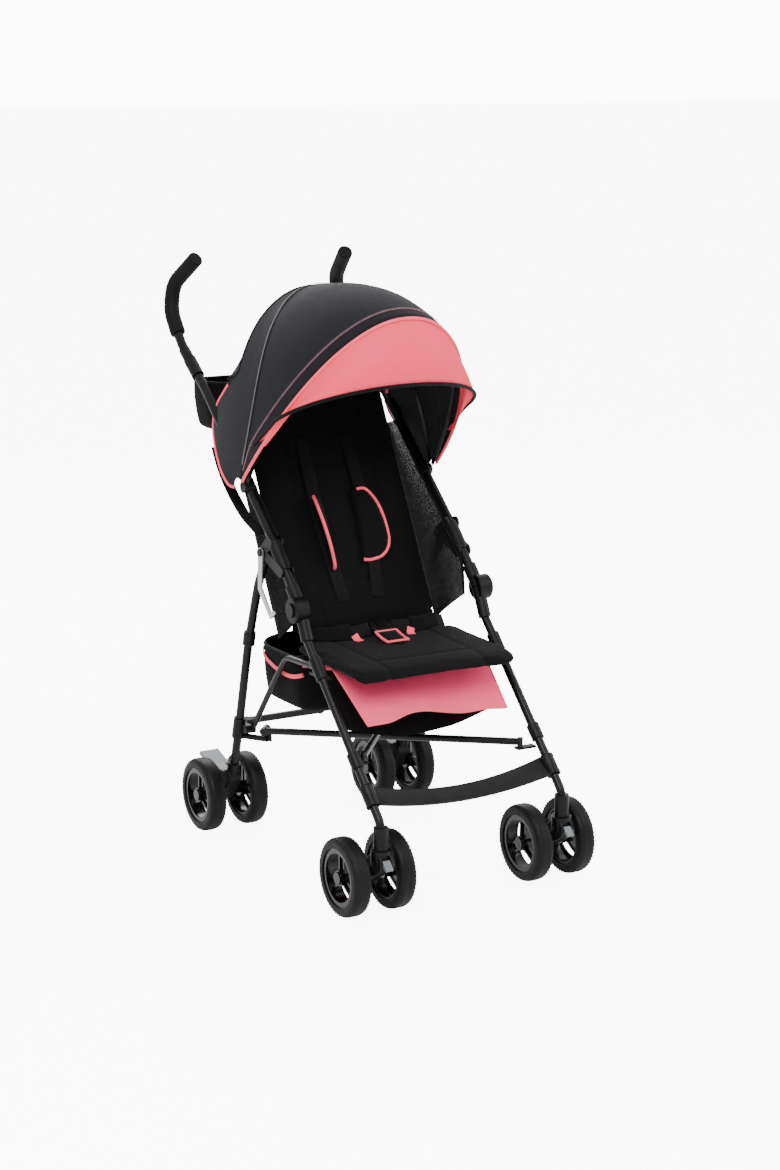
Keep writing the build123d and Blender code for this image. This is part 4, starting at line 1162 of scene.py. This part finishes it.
def pouch():
    """Pouch that hangs behind the seat back from the push tubes."""
    rings = []
    levels = 13
    for i in range(levels + 1):
        v = i / levels
        drop = min(v / 0.8, 1.0)
        shrink = 1.0 if v <= 0.8 else 1.0 - (v - 0.8) / 0.2
        front_y = POUCH_FRONT_Y - 14.0 * drop
        rear_y = POUCH_REAR_Y - 8.0 * drop + 12.0 * math.sin(math.pi * drop)
        mid, deep = (front_y + rear_y) / 2, (rear_y - front_y) / 2
        z_mid = POUCH_HEM_Z - POUCH_H * drop
        ring = []
        for j in range(72):
            turn = 2 * math.pi * j / 72
            c, s = math.cos(turn), math.sin(turn)
            x = POUCH_HALF_W * math.copysign(abs(c) ** 0.3, c) * (1 - 0.04 * drop)
            y = deep * math.copysign(abs(s) ** 0.5, s)
            size = max(shrink, 0.05)
            crease = 2.0 * noise.noise(Vector((x * 0.02, drop * 3.0, s)))
            across = x * (0.6 + 0.4 * size) if shrink < 1 else x
            up = z_mid - 12.0 * (1 - size) + 3.0 * math.cos(turn) ** 2 * (1 - drop)
            ring.append(place(across, mid + y * size + crease * (s > 0), up))
        rings.append(ring)
    bag_, area = lofted_bag("rear_pouch_bag", rings, LINING_CLOTH, 1.6)
    hem = tube_along("pouch_hem", rings[0], 2.8, BINDING, closed=True)
    return bag_, area, hem


pouch_bag, pouch_area, pouch_hem = pouch()
on_frame(pouch_bag, "right_frame", "black_fabric", "rear_pouch")
on_frame(pouch_hem, "right_frame", "black_fabric")


# ---- straps and footrest -----------------------------------------------------------------------
def carry_strap():
    route = [place(-190, y, z) for y, z in ((104, 602), (168, 627), (222, 664), (258, 700), (281, 737))]
    line = smooth_line(route, 40)
    return strap_along("carry_strap_web", line, (1, 0, 0), 22.0, 1.8, WEBBING)


strap = on_frame(carry_strap(), "right_frame", "webbing", "carry_strap")


FOOTREST_AT = (-283.6, 208.7)            # where its middle line meets the front legs
FOOTREST_HALF_W, FOOTREST_SAG = 178.5, 22.0
# a leg sleeve's section: along the leg, out from its axis
SLEEVE_SECTION = ((-20, 10.5), (-20, 12.4), (-17, 13.0), (-13, 12.2),
                  (13, 12.2), (17, 13.0), (20, 12.4), (20, 10.5))


def footrest():
    """Flexible band between the front legs, with a sleeve on each leg."""
    centre = FOOTREST_AT
    tilt = math.radians(30.0)
    rows = []
    for i in range(49):
        s = i / 48 * 2 - 1
        x = s * FOOTREST_HALF_W
        sag = FOOTREST_SAG * (1 - s * s)
        waist = 0.82 + 0.18 * s * s
        row = []
        for j in range(11):
            w = (j / 10 - 0.5) * 47.0 * waist
            dish = 2.2 * (2 * j / 10 - 1) ** 2
            z = centre[1] - sag + w * math.sin(tilt) + dish - 1.6
            row.append(place(x, centre[0] + w * math.cos(tilt), z))
        rows.append(row)
    band = sheet_from_rows("footrest_band", rows, FOOTREST_BAND)
    area = cut_area(band)
    band = thickened(band, 3.0, 1)
    run = Vector((0, 267.0, 276.3)).normalized()
    sleeves = []
    for side in (-1, 1):
        middle = place(side * SIDE_X, *centre)
        verts = []
        across = Vector((1, 0, 0))
        other = run.cross(across)
        for level, radius in SLEEVE_SECTION:
            for k in range(32):
                turn = 2 * math.pi * k / 32
                spoke = across * math.cos(turn) + other * math.sin(turn)
                verts.append(middle + run * level * MM + spoke * radius * MM)
        faces = []
        for a in range(len(SLEEVE_SECTION)):
            b = (a + 1) % len(SLEEVE_SECTION)
            for k in range(32):
                n = (k + 1) % 32
                faces.append((a * 32 + k, a * 32 + n, b * 32 + n, b * 32 + k))
        sleeves.append(face_out(new_piece(f"sleeve_{side + 1}", verts, faces, FITTING_PLASTIC)))
    return band, area, joined("footrest_sleeves", sleeves)


band, band_area, band_sleeves = footrest()
on_frame(band, "right_frame", "black_plastic", "footrest")
on_frame(band_sleeves, "right_frame", "black_plastic")


# ---- bows and buckle, as meshes of their own -----------------------------------------------------
def merged_copy(node_name, name):
    """A CAD node's shape as one closed mesh of its own."""
    source = NODES[node_name]
    mesh = source.data.copy()
    mesh.name = name
    work = bmesh.new()
    work.from_mesh(mesh)
    bmesh.ops.remove_doubles(work, verts=work.verts, dist=1e-6)
    for face in work.faces:
        face.smooth = True
    for edge in work.edges:
        edge.smooth = len(edge.link_faces) == 2 and edge.calc_face_angle(0.0) < math.radians(35.0)
    work.to_mesh(mesh)
    work.free()
    copy = bpy.data.objects.new(name, mesh)
    bpy.context.scene.collection.objects.link(copy)
    return copy


for node_name, name, body, finish in (
        ("canopy_rear_bow", "rear_bow_wire", "right_frame", "black_plastic"),
        ("canopy_front_bow", "front_bow_wire", "canopy_front", "black_plastic"),
        ("buckle", "buckle_shell", "right_frame", "buckle_plastic"),
        ("buckle_button", "buckle_press", "buckle_button", "buckle_plastic")):
    on_frame(merged_copy(node_name, name), body, finish, node_name)


# ---- tyre knobs --------------------------------------------------------------------------------
KNOBS_ROUND, KNOB_INWARD, KNOB_SUNK, KNOB_R = 54, 4.2, 3.6, 2.1


def tyre_knobs(body, node):
    """Two rows of low knobs on a tyre's shoulders."""
    low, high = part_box(node)
    centre = (Vector(low) + Vector(high)) / 2
    half_w = (high[0] - low[0]) / 2
    radius = (high[2] - low[2]) / 2
    verts = []
    for row, side in enumerate((-1, 1)):
        for k in range(KNOBS_ROUND):
            turn = 2 * math.pi * (k + 0.5 * row) / KNOBS_ROUND
            out = radius - KNOB_SUNK * MM
            x = side * (half_w - KNOB_INWARD * MM)
            verts.append(centre + Vector((x, out * math.cos(turn), out * math.sin(turn))))
    mesh = bpy.data.meshes.new(f"{body}_knobs")
    mesh.from_pydata([tuple(v) for v in verts], [], [])
    knobs = bpy.data.objects.new(f"{body}_knobs", mesh)
    bpy.context.scene.collection.objects.link(knobs)
    grown(knobs, KNOB_ROWS, {"Radius": KNOB_R * MM, "Finish": TYRE_FOAM})
    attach(knobs, body)


for word in ("right", "left"):
    for end in ("front", "rear"):
        for spot in ("outer", "inner"):
            tyre_knobs(f"{word}_{end}_{spot}_wheel", f"{word}_{end}_{spot}_tyre")


# ---- floor, light and camera -------------------------------------------------------------------
WORLD_LIGHT, WORLD_SHOWN = 1.25, 11.0    # strength on the object, and as the backdrop shows
FLOOR_GLOW = 8.0
FLOOR_HALF = 60.0                        # metres
# lamp, its place and size in metres, its power in watts
LAMPS = (("key", (-1.6, -2.2, 3.0), 2.2, 130.0), ("fill", (2.6, -1.4, 2.0), 2.4, 60.0),
         ("back", (0.6, 2.6, 2.6), 2.4, 100.0))


def seen_only(tree, seen, otherwise):
    """A strength that the backdrop shows, and another that it lights with."""
    path = tree.nodes.new("ShaderNodeLightPath")
    pick = maths(tree, "MULTIPLY", path.outputs["Is Camera Ray"], seen - otherwise)
    return maths(tree, "ADD", pick, otherwise)


def floor_and_light():
    mesh = bpy.data.meshes.new("floor")
    far = FLOOR_HALF
    corners = [(-far, -far, 0), (far, -far, 0), (far, far, 0), (-far, far, 0)]
    mesh.from_pydata(corners, [], [(0, 1, 2, 3)])
    floor = bpy.data.objects.new("floor", mesh)
    bpy.context.scene.collection.objects.link(floor)
    paint = bpy.data.materials.new("studio_floor")
    paint.use_nodes = True
    tree = paint.node_tree
    bsdf = tree.nodes["Principled BSDF"]
    bsdf.inputs["Base Color"].default_value = (0.96, 0.96, 0.96, 1.0)
    bsdf.inputs["Roughness"].default_value = 0.6
    bsdf.inputs["Emission Color"].default_value = (1.0, 1.0, 1.0, 1.0)
    tree.links.new(seen_only(tree, FLOOR_GLOW, 0.0), bsdf.inputs["Emission Strength"])
    mesh.materials.append(paint)
    world = bpy.data.worlds.new("studio")
    bpy.context.scene.world = world
    world.use_nodes = True
    sky = world.node_tree.nodes["Background"]
    sky.inputs["Color"].default_value = (1.0, 1.0, 1.0, 1.0)
    strength = seen_only(world.node_tree, WORLD_SHOWN, WORLD_LIGHT)
    world.node_tree.links.new(strength, sky.inputs["Strength"])
    for name, spot, size, power in LAMPS:
        lamp = bpy.data.lights.new(name, "AREA")
        lamp.energy = power
        lamp.size = size
        light = bpy.data.objects.new(name, lamp)
        light.location = spot
        light.rotation_euler = (Vector((0, 0, 0.5)) - Vector(spot)).to_track_quat("-Z", "Y").to_euler()
        bpy.context.scene.collection.objects.link(light)


CAMERA_AZIMUTH, CAMERA_ELEVATION, CAMERA_DISTANCE, CAMERA_LENS = -30.28, 12.41, 4.39, 74.03


def camera():
    azimuth, elevation = math.radians(CAMERA_AZIMUTH), math.radians(CAMERA_ELEVATION)
    right = Vector((math.cos(azimuth), math.sin(azimuth), 0))
    back = Vector((math.sin(azimuth) * math.cos(elevation), -math.cos(azimuth) * math.cos(elevation),
                   math.sin(elevation)))
    up = back.cross(right)
    target = place(0, 0, 500) + right * 17.2 * MM + up * 5.6 * MM
    lens = bpy.data.cameras.new("studio_camera")
    lens.lens = CAMERA_LENS
    lens.sensor_width = 36.0
    lens.clip_end = 150.0
    shot = bpy.data.objects.new("studio_camera", lens)
    turned = Matrix((right, up, back)).transposed().to_4x4()
    shot.matrix_world = Matrix.Translation(target + back * CAMERA_DISTANCE) @ turned
    bpy.context.scene.collection.objects.link(shot)
    bpy.context.scene.camera = shot


floor_and_light()
camera()
